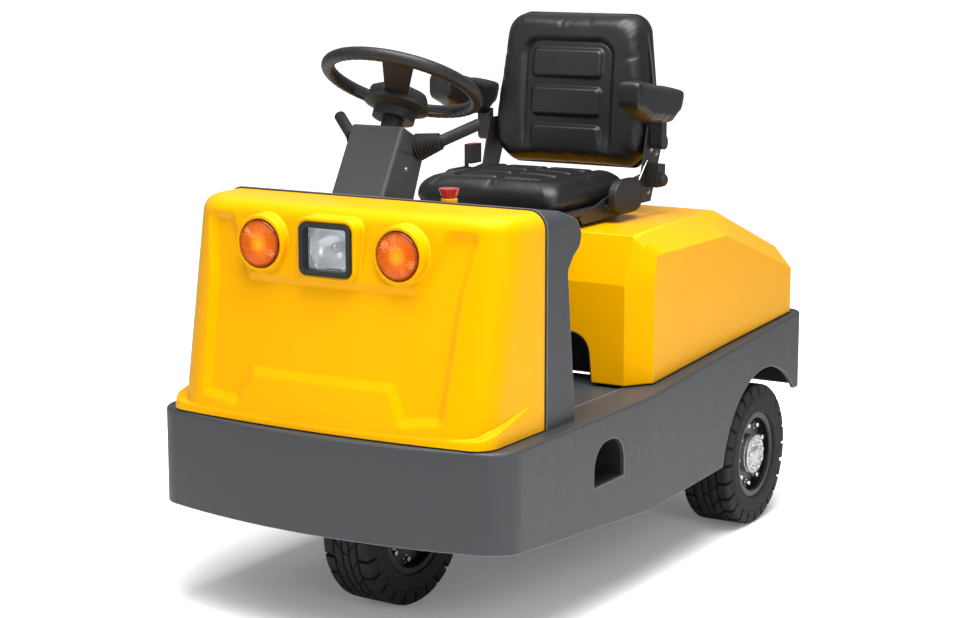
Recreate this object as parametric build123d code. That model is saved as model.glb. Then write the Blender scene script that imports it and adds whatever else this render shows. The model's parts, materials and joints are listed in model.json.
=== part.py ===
from build123d import *
import os
from math import cos, radians, sin, tan

# Three-wheeled sit-on electric tow tractor, in millimetres.
# +Z is up, the front looks along -Y and the driver's left is +X.
# The origin is on the floor, at the middle of the overall length.

# ---------------------------------------------------------------- overall
NOSE_REACH = 387.0  # front axle to the tip of the bumper
WHEELBASE = 1165.0
TAIL_REACH = 345.0  # rear axle to the back of the skirt
HITCH_REACH = 83.0  # back of the skirt to the end of the tow hitch
OVERALL_LENGTH = NOSE_REACH + WHEELBASE + TAIL_REACH + HITCH_REACH
NOSE_Y = -OVERALL_LENGTH / 2
FRONT_AXLE_Y = NOSE_Y + NOSE_REACH
REAR_AXLE_Y = FRONT_AXLE_Y + WHEELBASE
TAIL_Y = REAR_AXLE_Y + TAIL_REACH
RUN_GAP = 0.1  # radial clearance of a turning shaft
SEAT_GAP = 0.3  # clearance where a moving piece rests on a fixed one
END_GAP = 2.0  # end play of a hub
MOVE_GAP = 8.0  # clearance round pieces that swing

# ---------------------------------------------------------------- wheels
TYRE_RADIUS = 207.5
TYRE_WIDTH = 155.0
RIM_RADIUS = 125.0
BEAD_RADIUS = 118.0
FLANGE_INSET = 8.0  # rim flange inside the tyre's side
RIM_WALL = 6.0
RIM_LIP = 14.0  # width and inner radius of the lip inside the flange
LIP_RADIUS = 106.0
LIP_EDGE = 4.0
RIM_DISC = 10.0
RIM_DISH = 24.0  # flange to the face of the disc
HUB_RADIUS = 56.5
HUB_RECESS = 3.0  # face of the hub cap behind the rim's flange
HUB_NECK_RADIUS = 45.0
HUB_FLANGE = 14.0  # hub's mounting flange: thickness, and width outside the cap
HUB_LENGTH = 60.0
HUB_STEP = 12.0  # front hub's collar on the face of its disc
CAP_EDGE = 8.0
TREAD_SHOULDER = 24.0  # tyre's side profile: flat tread to the side, and the bulge of the wall
TREAD_EDGE = 8.0
WALL_TOP = 32.0
WALL_FOOT = 27.0
AXLE_RADIUS = 25.0
AXLE_TUBE_R = 48.0
GEAR_CASE_R = 105.0
GEAR_CASE_HALF = 75.0
MOTOR_RADIUS = 90.0
MOTOR_LENGTH = 280.0
MOTOR_FLANGE_R = 60.0
MOTOR_FLANGE = 40.0
MOTOR_RISE = 20.0
BRACKET_LENGTH = 220.0  # axle brackets: length along the rail and at the tube, thickness
BRACKET_FOOT = 124.0
BRACKET_DROP = 30.0
BRACKET_THICK = 20.0
TRACK_OUTER = 515.0  # centreline to the outer face of a rear tyre
STEER_REST = -4.0  # degrees the front wheel is turned at rest

# ---------------------------------------------------------------- skirt
SKIRT_HALF_WIDTH = 525.0
SKIRT_TAIL_DRAW = 20.0  # how much narrower each side is at the tail
SKIRT_TAIL_HALF_WIDTH = SKIRT_HALF_WIDTH - SKIRT_TAIL_DRAW
SKIRT_WALL = 10.0
SKIRT_LEDGE = 110.0  # width of the flat top flange
BUMPER_BOW = 77.0
FRONT_CORNER_R = 90.0
REAR_CORNER_R = 42.0
DECK_Z = 520.0
SKIRT_FRONT_Z = 270.0
SKIRT_TAIL_RISE = 68.0  # rise of the top edge from the kink to the tail
KINK_Y = FRONT_AXLE_Y + 440.0
KINK_LOW_Z = 210.0
KINK_PLAN_R = 2500.0  # soft bends of the side and of its top edge at the kink
KINK_TOP_R = 1500.0
KINK_REACH = 45.0  # length of the bend ahead of the kink, and a little more
ARCH_LOW_Z = 230.0
TAIL_LOW_Z = 354.0
ARCH_RADIUS = 303.0
ARCH_SETBACK = 50.0  # arch centre behind the rear axle
ARCH_Z = 155.0
LEDGE_ROUND = 9.0

# step pocket in each side
STEP_Y = FRONT_AXLE_Y + 207.0
STEP_WIDTH = 165.0
STEP_SILL_Z = 340.0
STEP_TOP_Z = 452.0
STEP_CORNER_R = 70.0
STEP_DEPTH = 90.0
STEP_WALL = 4.0

# ---------------------------------------------------------------- frame
TYRE_TO_RAIL = 10.0
RAIL_WIDTH = 50.0
RAIL_TOP_Z = 510.0
RAIL_HEIGHT = 80.0
CROSS_HEIGHT = 40.0
CROSS_LENGTH = 40.0
NOSE_BRACKET_HALF = 28.0
FLOOR_THICK = 8.0
FLOOR_SLOT = 8.0
FLOOR_TUCK = 20.0  # floor plate past the heel tray
LINER_LOW_Z = 262.0
LINER_THICK = 4.0
FORK_PLATE = 16.0
FORK_LEG = 16.0
LEG_TOP_HALF = 60.0
LEG_FOOT_R = 38.0
PIN_HEAD_R = 32.0
PIN_HEAD = 8.0
TYRE_GAP = 15.0
KINGPIN_RADIUS = 30.0
KINGPIN_SINK = 3.0  # kingpin's end below the top of its carrier
RACE_RADIUS = 105.0
RACE_HEIGHT = 26.0

# ---------------------------------------------------------------- cowl
GASKET = 4.0
COWL_FRONT_INSET = 27.0  # bumper tip to the foot of the cowl
COWL_HALF_WIDTH = 480.0
COWL_DEPTH = 306.0  # foot of the cowl to its rear edge
COWL_TOP_Z = 1064.0
COWL_LEAN_DEGREES = 11.7  # how far the front face leans back
COWL_LEAN = tan(radians(COWL_LEAN_DEGREES))
COWL_BOW = 34.0
COWL_CORNER_R = 112.0
COWL_TAPER = 0.115  # how fast the sides draw in, ahead of their straight part
COWL_STRAIGHT = 40.0
COWL_SIDE_R = 400.0
COWL_TOP_R = 46.0
COWL_WALL = 5.0
BAND_CORNER_R = 62.0
BAND_HEIGHT = 14.0  # foot band at the front, and its rise to the rear
BAND_RISE = 76.0
BAND_SETBACK = 0.5
PANEL_DEPTH = 13.0
PANEL_RAMP = 22.0
RAMP_PAST = 1.15  # ramps are cut past the cowl's face
LAMP_X = 205.0
LAMP_Z = 965.0
LAMP_COLLAR_R = 73.0
LAMP_LENS_R = 61.0
LAMP_PROUD = 27.0  # collars stand out level, so they are proudest at the top
LAMP_DEPTH = 90.0
LENS_SINK = 3.0
HEADLAMP_WIDTH = 152.0
HEADLAMP_HEIGHT = 130.0
HEADLAMP_RIM = 14.0
HEADLAMP_CORNER_R = 20.0
HEADLAMP_LIP = 5.0  # black frame ahead of the yellow housing
HEADLAMP_BEZEL = 12.0
HEADLAMP_RECESS = 26.0
GLASS_THICK = 5.0
LENS_THICK = 30.0
LENS_EDGE_R = 8.0

# ---------------------------------------------------------------- dash
DASH_PROUD = 5.0  # how far the dash shell stands outside the cowl
DASH_TOP_R = 52.0
DASH_WALL = 6.0
DASH_BEND_R = 26.0
# side view of the dash: distance behind its front plane, height
DASH_FOOT = (145.0, DECK_Z)
DASH_WAIST = (102.0, 905.0)
DASH_NECK = (128.0, 938.0)
DASH_CHIN = (164.0, 962.0)
DASH_BROW = (172.0, 992.0)
DASH_CREST = (150.0, 1027.0)
DASH_CROWN = (85.0, 1055.0)
COLUMN_X = -78.0
COLUMN_WIDTH = 160.0
# side view of the column housing: distance behind the dash's front plane, height
COLUMN_HEEL = (2.0, 1060.0)
COLUMN_HEAD = (106.0, 1240.0)
COLUMN_TOE = (142.0, 1010.0)
COLUMN_TOP_DEPTH = 124.0
COLUMN_EDGE_R = 9.0
COLUMN_LEAN = 26.0  # lean of the steering shaft, square to the housing's top
STEM_LENGTH = 139.0  # housing top to the plane of the rim
SHAFT_RADIUS = 28.0
COLLAR_RADIUS = 56.0
COLLAR_DROP = 102.0  # collar's underside below the rim's plane
WHEEL_RADIUS = 199.0
WHEEL_GRIP_R = 17.0
BOSS_RADIUS = 86.0
BOSS_DROP = 78.0  # boss's underside below the rim's plane
BOSS_LIP = 8.0  # edge of the bell flange, and the slopes below and above it
BOSS_BELL = 12.0
BOSS_TOP_RADIUS = 74.0
BOSS_TOP = 28.0  # top edge of the boss below the rim's plane
BOSS_CAP = 10.0
SPOKE_THICK = 16.0
SPOKE_DROP = 46.0
SPOKE_TURN = 28.0  # the broad spoke, from straight ahead towards the driver's left
SPOKE_SPREAD = 140.0
SPOKE_TAPER = 0.7
BROAD_SPOKE = 84.0
SLIM_SPOKE = 46.0
# places of a lever: out from the housing's side, behind the dash's front plane, height
LEVER_ROOT = (-14.0, 180.0, 1177.0)
LEVER_ELBOW = (60.0, 192.0, 1197.0)
LEVER_TIP = (140.0, 253.0, 1241.0)
BOOT_ROOT_R = 32.0
BOOT_TIP_R = 19.0
BOOT_RIBS = 7
BOOT_RIB = 3.0
GRIP_RADIUS = 15.5
GRIP_EDGE = 4.0
STOP_X = 150.0
STOP_BACK = 88.0
STOP_RADIUS = 27.0
STOP_NECK_R = 16.0
STOP_BASE_R = 21.0
STOP_BASE_Z = 1066.0
STOP_BASE = 34.0
STOP_NECK = 6.0
STOP_HEAD = 19.0
PEDAL_GAP = 10.0
PEDAL_LENGTH = 105.0
PEDAL_RISE = 78.0
PEDAL_TOP = 14.0
PEDAL_FALL = 6.0
BRAKE_X = -20.0
BRAKE_WIDTH = 90.0
THROTTLE_X = 140.0
THROTTLE_WIDTH = 62.0

# ---------------------------------------------------------------- hood
HOOD_FRONT_Y = FRONT_AXLE_Y + 485.0
HOOD_HALF_WIDTH = 478.0
HOOD_SIDE_Z = 876.0
HOOD_TOP_Z = 930.0
HOOD_WALL = 6.0
HOOD_TAIL_INSET = 40.0  # hood's tail ahead of the skirt's tail
HOOD_TOP_FRONT = 424.0  # half widths of the flat top at the front and where its slope starts
HOOD_TOP_BACK = 384.0
HOOD_SIDE_KINK_Y = FRONT_AXLE_Y + 992.0
HOOD_TOP_KINK_Y = FRONT_AXLE_Y + 1105.0
# tail of the hood: half widths of the side and the top, heights of the side's edge and the top
HOOD_TAIL_HALF = 486.0
HOOD_TAIL_TOP_HALF = 432.0
HOOD_TAIL_SIDE_Z = 722.0
HOOD_TAIL_TOP_Z = 784.0
HOOD_TAIL_CUT = 22.0
HOOD_BREAK_Z = 800.0  # where the front starts to lean back
HOOD_FRONT_LEAN = 0.29
HOOD_FACET_X = 420.0  # front corner facets: start across, angle, lean above the break
HOOD_FACET_ANGLE = 44.5
HOOD_FACET_LEAN = 0.13
HOOD_FACET_LENGTH = 62.0
HOOD_SEAL = 5.0
HOOD_SEAL_WIDTH = 8.0
HEEL_SPLAY = 14.0
HEEL_HALF = 310.0
HEEL_TOP_Z = 662.0
HEEL_DEPTH = 110.0
HEEL_CORNER_R = 60.0
HINGE_RADIUS = 9.0
HINGE_X = 300.0
HINGE_LENGTH = 40.0
HINGE_EAR = 25.0
HINGE_GAP = 3.0
BATTERY_FRONT_GAP = 75.0  # behind the heel tray, past the top's kink, and under the hood
BATTERY_BACK_REACH = 65.0
BATTERY_TOP_GAP = 90.0

# ---------------------------------------------------------------- seat
SEAT_WIDTH = 480.0
CUSHION_FRONT_Y = FRONT_AXLE_Y + 440.0
CUSHION_BACK_Y = FRONT_AXLE_Y + 885.0
CUSHION_RISE = 120.0  # top of the cushion above the hood
CUSHION_THICK = 70.0
PAD_CORNER_R = 45.0
PAD_EDGE_R = 18.0
PAN_THICK = 14.0
PAN_SIDE = 4.0
PAN_INSET = 60.0  # pan's front behind the cushion's, and its end ahead of the cushion's back
PAN_NOSE = 40.0
PAN_BACK = 10.0
SLIDE_X = 170.0
SLIDE_WIDTH = 40.0
# side wedge of the pan: distance behind the cushion's front, height
PAN_WEDGE = [(113.0, 961.0), (338.0, 1017.0), (350.0, 941.0), (133.0, 942.0)]
BACK_FOOT_Y = FRONT_AXLE_Y + 913.0
BACK_FOOT_Z = 1058.0
BACK_LEAN = 4.7
BACK_THICK = 75.0
# outline of the backrest: half width, height above its foot
BACK_PROFILE = [(198.0, 0.0), (247.0, 46.0), (256.0, 112.0), (252.0, 190.0), (218.0, 440.0)]
BACK_FOOT_R = 28.0
BACK_SIDE_R = 140.0
BACK_TOP_R = 62.0
BACK_PAD_MARGIN = 6.0
SHELL_THICK = 10.0
SIDE_PLATE_X = 258.5
SIDE_PLATE = 4.0
SIDE_PLATE_REACH = 190.0  # side plates ahead of the cushion's back, and behind it
SIDE_PLATE_BACK = 60.0
SIDE_PLATE_HALF = 24.0
SIDE_PLATE_TAIL = 19.0  # side plates behind the backrest's foot
HIP_Y = CUSHION_BACK_Y - 114.0
HIP_Z = 1000.0
HIP_LENGTH = 168.0
HIP_HEIGHT = 96.0
HIP_THICK = 24.0
HIP_EDGE_R = 9.0
BACK_TAB_INNER = 180.0
BACK_TAB_LOW = 60.0
BACK_TAB_TOP = 130.0
BACK_TAB = 8.0
RETRACTOR_WIDTH = 40.0
RETRACTOR_LENGTH = 46.0
RETRACTOR_LOW = 40.0  # below and above the cushion's top
RETRACTOR_TOP = 24.0
BUCKLE_GAP = 12.0
BUCKLE_BACK = 80.0
BUCKLE_STALK = 6.0
BUCKLE_WIDTH = 24.0
BUCKLE_LENGTH = 56.0
BUCKLE_FOOT = 10.0
BUCKLE_TOP = 66.0
ARM_X = 304.0
ARM_WIDTH = 72.0
ARM_PIVOT_Y = FRONT_AXLE_Y + 948.0
ARM_PIVOT_Z = 1135.0
# side outline of an armrest pad: distance behind the pivot, height above it
ARM_PROFILE = [(-237, 191), (60, 145), (40, 90), (-15, 58), (-145, 73), (-235, 118)]
ARM_EDGE_R = 16.0
ARM_LINK_R = 20.0
ARM_LINK_RISE = 90.0
ARM_PIN_R = 10.0

# ---------------------------------------------------------------- tail
HITCH_HALF = 110.0
HITCH_PLATE = 14.0
HITCH_LOW_Z = 290.0
HITCH_TOP_Z = 440.0
HITCH_Z = 368.0
HITCH_JAW = 64.0
HITCH_EAR = 16.0
HITCH_EAR_R = 36.0
HITCH_BORE_R = 16.0
TAIL_LAMP_X = 380.0
TAIL_LAMP_R = 38.0
TAIL_LAMP_DEPTH = 20.0

# ---------------------------------------------------------------- worked-out places
ARCH_Y = REAR_AXLE_Y + ARCH_SETBACK
COWL_FOOT_Y = NOSE_Y + COWL_FRONT_INSET
DASH_Y = COWL_FOOT_Y + COWL_DEPTH + GASKET  # front plane of the dash shell
COWL_FOOT_Z = DECK_Z + GASKET
DASH_BACK_Y = DASH_Y + DASH_FOOT[0]
DASH_TOP_Z = COWL_TOP_Z + DASH_PROUD
FLOOR_Z = RAIL_TOP_Z + FLOOR_THICK
CUSHION_TOP_Z = HOOD_TOP_Z + CUSHION_RISE
TYRE_X = TRACK_OUTER - TYRE_WIDTH / 2
FLANGE_X = TYRE_WIDTH / 2 - FLANGE_INSET  # rim flange and disc from the tyre's middle
DISC_X = FLANGE_X - RIM_DISH
RAIL_OUTER = TRACK_OUTER - TYRE_WIDTH - TYRE_TO_RAIL
RAIL_INNER = RAIL_OUTER - RAIL_WIDTH
FORK_Z = 2 * TYRE_RADIUS + TYRE_GAP
FORK_HALF = TYRE_WIDTH / 2 + TYRE_GAP
RACE_Z = FORK_Z + FORK_PLATE + SEAT_GAP
CARRIER_Z = RACE_Z + RACE_HEIGHT
HOOD_TAIL_Y = TAIL_Y - HOOD_TAIL_INSET
HINGE_Y = HOOD_TAIL_Y + HINGE_RADIUS + HINGE_GAP
HINGE_Z = DECK_Z + SKIRT_TAIL_RISE + HINGE_RADIUS + HINGE_GAP
PAN_Z = CUSHION_TOP_Z - CUSHION_THICK
SIDE_PLATE_OUTER = SIDE_PLATE_X + SIDE_PLATE
HEAD_BACK = COLUMN_TOP_DEPTH * cos(radians(COLUMN_LEAN))  # housing's top, seen from the side
HEAD_FALL = COLUMN_TOP_DEPTH * sin(radians(COLUMN_LEAN))


def block(x0, x1, y0, y1, z0, z1):
    """Box between two corners."""
    middle = Pos((x0 + x1) / 2, (y0 + y1) / 2, (z0 + z1) / 2)
    return middle * Box(abs(x1 - x0), abs(y1 - y0), abs(z1 - z0))


def rod(radius, x0, x1, y, z):
    """Cylinder along X."""
    return Pos((x0 + x1) / 2, y, z) * Rot(0, 90, 0) * Cylinder(radius, abs(x1 - x0))


def side_prism(points, x0, x1):
    """Outline of (y, z) points, extruded across from x0 to x1."""
    face = make_face(Polyline(*points, close=True))
    return Pos(x0, 0, 0) * extrude(Plane.YZ * face, amount=x1 - x0)


def front_prism(face, y0, y1):
    """Face drawn in (x, z), extruded from y0 back to y1."""
    return Pos(0, y1, 0) * extrude(Plane.XZ * face, amount=y1 - y0)


def spun(points):
    """Outline of (axial, radial) points turned about the X axis."""
    face = make_face(Polyline(*points, close=True))
    return revolve(Plane.XZ * face, Axis.X)


def pair(piece):
    """A piece and its mirror image on the other side."""
    return Compound(children=[piece, mirror(piece, Plane.YZ)])


# ---------------------------------------------------------------- skirt
def skirt_plan(inset):
    """Plan of the skirt, drawn inwards from its outer face."""
    half = SKIRT_HALF_WIDTH - inset
    tail_half = SKIRT_TAIL_HALF_WIDTH - inset
    shoulder_y = NOSE_Y + BUMPER_BOW + inset
    tail_y = TAIL_Y - inset
    bow = ThreePointArc((-half, shoulder_y), (0, NOSE_Y + inset), (half, shoulder_y))
    rest = Polyline(
        (half, shoulder_y),
        (half, KINK_Y),
        (tail_half, tail_y),
        (-tail_half, tail_y),
        (-half, KINK_Y),
        (-half, shoulder_y),
    )
    face = make_face([bow, rest])
    front = face.vertices().filter_by(lambda v: abs(v.Y - shoulder_y) < 1)
    face = fillet(front, max(FRONT_CORNER_R - inset, SKIRT_WALL))
    back = face.vertices().filter_by(lambda v: abs(v.Y - tail_y) < 1)
    face = fillet(back, max(REAR_CORNER_R - inset, SKIRT_WALL))
    return fillet(face.vertices().filter_by(lambda v: abs(v.Y - KINK_Y) < 1), KINK_PLAN_R)


def skirt_top_z(y):
    """Height of the skirt's top edge: level at the front, then rising to the tail."""
    return DECK_Z + SKIRT_TAIL_RISE * max(0, y - KINK_Y) / (TAIL_Y - KINK_Y)


def skirt_band(top_drop, low_drop):
    """Side view of the skirt as a prism, with its top and bottom edges lowered."""
    front_y = NOSE_Y - SKIRT_WALL
    back_y = TAIL_Y + SKIRT_WALL
    half = 2 * SKIRT_HALF_WIDTH
    face = make_face(
        Polyline(
            (front_y, DECK_Z - top_drop),
            (KINK_Y, DECK_Z - top_drop),
            (back_y, skirt_top_z(back_y) - top_drop),
            (back_y, TAIL_LOW_Z - low_drop),
            (ARCH_Y, TAIL_LOW_Z - low_drop),
            (ARCH_Y, ARCH_LOW_Z - low_drop),
            (KINK_Y, KINK_LOW_Z - low_drop),
            (NOSE_Y + BUMPER_BOW, SKIRT_FRONT_Z - low_drop),
            (front_y, SKIRT_FRONT_Z - low_drop),
            close=True,
        )
    )
    bend = face.vertices().filter_by(lambda v: abs(v.X - KINK_Y) < 1).sort_by(Axis.Y)[-1]
    face = fillet(bend, KINK_TOP_R)
    return Pos(-half, 0, 0) * extrude(Plane.YZ * face, amount=2 * half)


def step_outline(grow):
    """Arched opening with a flat sill, drawn in (y, z)."""
    half = STEP_WIDTH / 2 + grow
    face = make_face(
        Polyline(
            (STEP_Y - half, STEP_SILL_Z - grow),
            (STEP_Y + half, STEP_SILL_Z - grow),
            (STEP_Y + half, STEP_TOP_Z + grow),
            (STEP_Y - half, STEP_TOP_Z + grow),
            close=True,
        )
    )
    top = face.vertices().sort_by(Axis.Y)[2:]
    return fillet(top, STEP_CORNER_R + grow)


def is_rim(edge):
    """True for an edge on the outline of the skirt's top, false for a seam across it."""
    return abs(edge.center().X) > 1 or edge.center().Y > TAIL_Y - 1 or edge.center().Y < NOSE_Y + 1


def chassis_skirt():
    """Wrapped plate with a flat top flange, wheel arches and step openings."""
    outer = extrude(skirt_plan(0), amount=2 * DECK_Z) & skirt_band(0, 0)
    tops = outer.faces().filter_by(lambda f: f.normal_at().Z > 0.9)
    outer = fillet(tops.edges().filter_by(is_rim), LEDGE_ROUND)
    hollow = extrude(skirt_plan(SKIRT_WALL), amount=2 * DECK_Z) & skirt_band(SKIRT_WALL, DECK_Z)
    mouth = extrude(skirt_plan(SKIRT_LEDGE), amount=2 * DECK_Z)
    arch = rod(ARCH_RADIUS, -2 * SKIRT_HALF_WIDTH, 2 * SKIRT_HALF_WIDTH, ARCH_Y, ARCH_Z)
    steps = extrude(Plane.YZ * step_outline(0), amount=2 * SKIRT_HALF_WIDTH, both=True)
    return outer - hollow - mouth - arch - steps


def step_boxes():
    """Arched trays behind the step openings, open to the outside."""
    outside = SKIRT_HALF_WIDTH - SKIRT_WALL
    inside = outside - STEP_DEPTH
    tray = extrude(Plane.YZ * step_outline(STEP_WALL), amount=STEP_DEPTH)
    room = extrude(Plane.YZ * step_outline(0), amount=STEP_DEPTH)
    return pair(Pos(inside, 0, 0) * (tray - Pos(STEP_WALL, 0, 0) * room))


# ---------------------------------------------------------------- frame
def chassis_frame():
    """Two rails with cross members, skirt brackets and the front bearing carrier."""
    low = RAIL_TOP_Z - RAIL_HEIGHT
    cross_low = RAIL_TOP_Z - CROSS_HEIGHT
    side = SKIRT_HALF_WIDTH - SKIRT_WALL
    front_y = NOSE_Y + BUMPER_BOW + FRONT_CORNER_R
    back_y = TAIL_Y - SKIRT_WALL
    frame = block(RAIL_INNER, RAIL_OUTER, front_y, back_y, low, RAIL_TOP_Z)
    frame += block(-RAIL_OUTER, -RAIL_INNER, front_y, back_y, low, RAIL_TOP_Z)
    bend_y = KINK_Y - KINK_REACH
    crossings = [front_y, STEP_Y + STEP_WIDTH / 2 + MOVE_GAP, bend_y - CROSS_LENGTH]
    for y in crossings:
        frame += block(-side, side, y, y + CROSS_LENGTH, cross_low, RAIL_TOP_Z)
    tail_half = SKIRT_TAIL_HALF_WIDTH - REAR_CORNER_R - SKIRT_WALL
    frame += block(-tail_half, tail_half, back_y - CROSS_LENGTH, back_y, low, RAIL_TOP_Z)
    carrier = RACE_RADIUS + CROSS_LENGTH
    frame += block(
        -RAIL_OUTER, RAIL_OUTER, FRONT_AXLE_Y - carrier, FRONT_AXLE_Y + carrier, CARRIER_Z, RAIL_TOP_Z
    )
    nose = NOSE_BRACKET_HALF
    frame += block(-nose, nose, NOSE_Y + SKIRT_WALL + SEAT_GAP, front_y, cross_low, RAIL_TOP_Z)
    bore = Pos(0, FRONT_AXLE_Y, RAIL_TOP_Z) * Cylinder(KINGPIN_RADIUS + RUN_GAP, 2 * RAIL_HEIGHT)
    return frame - bore


def turntable_ring():
    """Fixed race under the carrier that the fork's plate turns against."""
    race = Cylinder(RACE_RADIUS, RACE_HEIGHT) - Cylinder(KINGPIN_RADIUS + SEAT_GAP, RACE_HEIGHT)
    return Pos(0, FRONT_AXLE_Y, RACE_Z + RACE_HEIGHT / 2) * race


def floor_plate():
    """Flat floor between the dash and the hood, a slot's width inside the ledge."""
    half = SKIRT_HALF_WIDTH - SKIRT_LEDGE - FLOOR_SLOT
    back_y = HOOD_FRONT_Y + HEEL_DEPTH + FLOOR_TUCK
    return block(-half, half, DASH_Y, back_y, RAIL_TOP_Z, FLOOR_Z)


def wheel_liners():
    """Splash plates under the rails, inboard of the rear wheels."""
    outer = RAIL_OUTER - LINER_THICK
    front_y = ARCH_Y - ARCH_RADIUS
    back_y = TAIL_Y - SKIRT_WALL - CROSS_LENGTH
    top_z = RAIL_TOP_Z - RAIL_HEIGHT
    corners = [
        (front_y, LINER_LOW_Z),
        (ARCH_Y, LINER_LOW_Z),
        (back_y, TAIL_LOW_Z),
        (back_y, top_z),
        (front_y, top_z),
    ]
    return pair(side_prism(corners, outer - LINER_THICK, outer))


def steered(piece):
    """Moves a piece made about the vertical through the origin to the kingpin."""
    return Pos(0, FRONT_AXLE_Y, 0) * Rot(0, 0, STEER_REST) * piece


def steer_fork():
    """Inverted fork: top plate, kingpin and two legs."""
    top = FORK_Z + FORK_PLATE
    half = FORK_HALF + FORK_LEG
    fork = Pos(0, 0, FORK_Z + FORK_PLATE / 2) * Cylinder(RACE_RADIUS + FORK_LEG, FORK_PLATE)
    pin_length = RAIL_TOP_Z - KINGPIN_SINK - top
    fork += Pos(0, 0, top + pin_length / 2) * Cylinder(KINGPIN_RADIUS, pin_length)
    leg = side_prism(
        [
            (-LEG_TOP_HALF, top - FORK_PLATE / 2),
            (LEG_TOP_HALF, top - FORK_PLATE / 2),
            (LEG_FOOT_R, TYRE_RADIUS),
            (-LEG_FOOT_R, TYRE_RADIUS),
        ],
        FORK_HALF,
        half,
    )
    leg += rod(LEG_FOOT_R, FORK_HALF, half, 0, TYRE_RADIUS)
    fork += leg + mirror(leg, Plane.YZ)
    bore = rod(AXLE_RADIUS, -half, half, 0, TYRE_RADIUS)
    return steered(fork - bore)


def front_axle_pin():
    """Fixed axle pin through the fork's legs, with a head on each end."""
    half = FORK_HALF + FORK_LEG
    pin = rod(AXLE_RADIUS, -half, half, 0, TYRE_RADIUS)
    pin += rod(PIN_HEAD_R, half, half + PIN_HEAD, 0, TYRE_RADIUS)
    pin += rod(PIN_HEAD_R, -half - PIN_HEAD, -half, 0, TYRE_RADIUS)
    return steered(pin)


# ---------------------------------------------------------------- wheels
def tyre():
    """Solid tyre on the X axis, out to its tread."""
    half = TYRE_WIDTH / 2
    bead = FLANGE_X - RIM_WALL - SEAT_GAP
    side = [
        (bead, BEAD_RADIUS),
        (bead, RIM_RADIUS + SEAT_GAP),
        (FLANGE_X, RIM_RADIUS + SEAT_GAP),
        (half, RIM_RADIUS + WALL_FOOT),
        (half, TYRE_RADIUS - WALL_TOP),
        (half - TREAD_EDGE, TYRE_RADIUS - TREAD_EDGE),
        (half - TREAD_SHOULDER, TYRE_RADIUS),
    ]
    return spun(side + [(-x, r) for x, r in reversed(side)])


def rim():
    """Dished steel rim: barrel with flanges and inner lips, and a disc near the face."""
    seat = BEAD_RADIUS - SEAT_GAP
    inner = seat - RIM_WALL
    side = [
        (FLANGE_X - RIM_LIP - LIP_EDGE, inner),
        (FLANGE_X - RIM_LIP, LIP_RADIUS),
        (FLANGE_X - LIP_EDGE, LIP_RADIUS),
        (FLANGE_X, LIP_RADIUS + LIP_EDGE),
        (FLANGE_X, RIM_RADIUS),
        (FLANGE_X - RIM_WALL, RIM_RADIUS),
        (FLANGE_X - RIM_WALL, seat),
    ]
    barrel = spun(side + [(-x, r) for x, r in reversed(side)])
    disc = rod(inner, DISC_X - RIM_DISC, DISC_X, 0, 0)
    return barrel + disc - rod(HUB_NECK_RADIUS, DISC_X - RIM_DISC, DISC_X, 0, 0)


def rear_hub():
    """Hub with a mounting flange behind the disc and a round cap in front."""
    back = DISC_X - RIM_DISC
    foot = DISC_X - HUB_LENGTH
    hub = rod(HUB_RADIUS + HUB_FLANGE, back - HUB_FLANGE, back, 0, 0)
    hub += rod(HUB_NECK_RADIUS - RUN_GAP, foot, DISC_X, 0, 0)
    face = FLANGE_X - HUB_RECESS
    edge = [(face - CAP_EDGE, HUB_RADIUS), (face, HUB_RADIUS - CAP_EDGE), (face, 0)]
    cap = spun([(DISC_X, 0), (DISC_X, HUB_RADIUS), *edge])
    return hub + cap - rod(AXLE_RADIUS + RUN_GAP, foot, back, 0, 0)


def front_hub():
    """Through hub that runs on the fork's axle pin."""
    half = FORK_HALF - END_GAP
    back = DISC_X - RIM_DISC
    hub = rod(HUB_NECK_RADIUS - RUN_GAP, -half, half, 0, 0)
    hub += rod(HUB_RADIUS + HUB_FLANGE, back - HUB_FLANGE, back, 0, 0)
    hub += rod(HUB_RADIUS, DISC_X, DISC_X + HUB_STEP, 0, 0)
    return hub - rod(AXLE_RADIUS + RUN_GAP, -half, half, 0, 0)


def at_front_wheel(piece):
    """Places a wheel piece on the front axle, turned as the fork is."""
    return steered(Pos(0, 0, TYRE_RADIUS) * piece)


def at_rear_wheel(piece, side):
    """Places a wheel piece on the rear axle, its face outwards on that side."""
    facing = piece if side > 0 else mirror(piece, Plane.YZ)
    return Pos(side * TYRE_X, REAR_AXLE_Y, TYRE_RADIUS) * facing


def rear_axle():
    """Axle tube with the gear housing and a spindle at each end."""
    y = REAR_AXLE_Y
    z = TYRE_RADIUS
    spindle = TYRE_X + DISC_X - RIM_DISC - END_GAP
    tube = TYRE_X + DISC_X - HUB_LENGTH - END_GAP
    axle = rod(AXLE_RADIUS, -spindle, spindle, y, z)
    axle += rod(AXLE_TUBE_R, -tube, tube, y, z)
    axle += rod(GEAR_CASE_R, -GEAR_CASE_HALF, GEAR_CASE_HALF, y, z)
    return axle


def traction_motor():
    """Drive motor bolted to the front of the gear housing."""
    back = REAR_AXLE_Y - GEAR_CASE_R
    z = TYRE_RADIUS + MOTOR_RISE
    motor = Pos(0, back - MOTOR_LENGTH / 2, z) * Rot(90, 0, 0) * Cylinder(MOTOR_RADIUS, MOTOR_LENGTH)
    motor += Pos(0, back, z) * Rot(90, 0, 0) * Cylinder(MOTOR_FLANGE_R, MOTOR_FLANGE)
    return motor - rod(GEAR_CASE_R, -GEAR_CASE_HALF, GEAR_CASE_HALF, REAR_AXLE_Y, TYRE_RADIUS)


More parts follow.
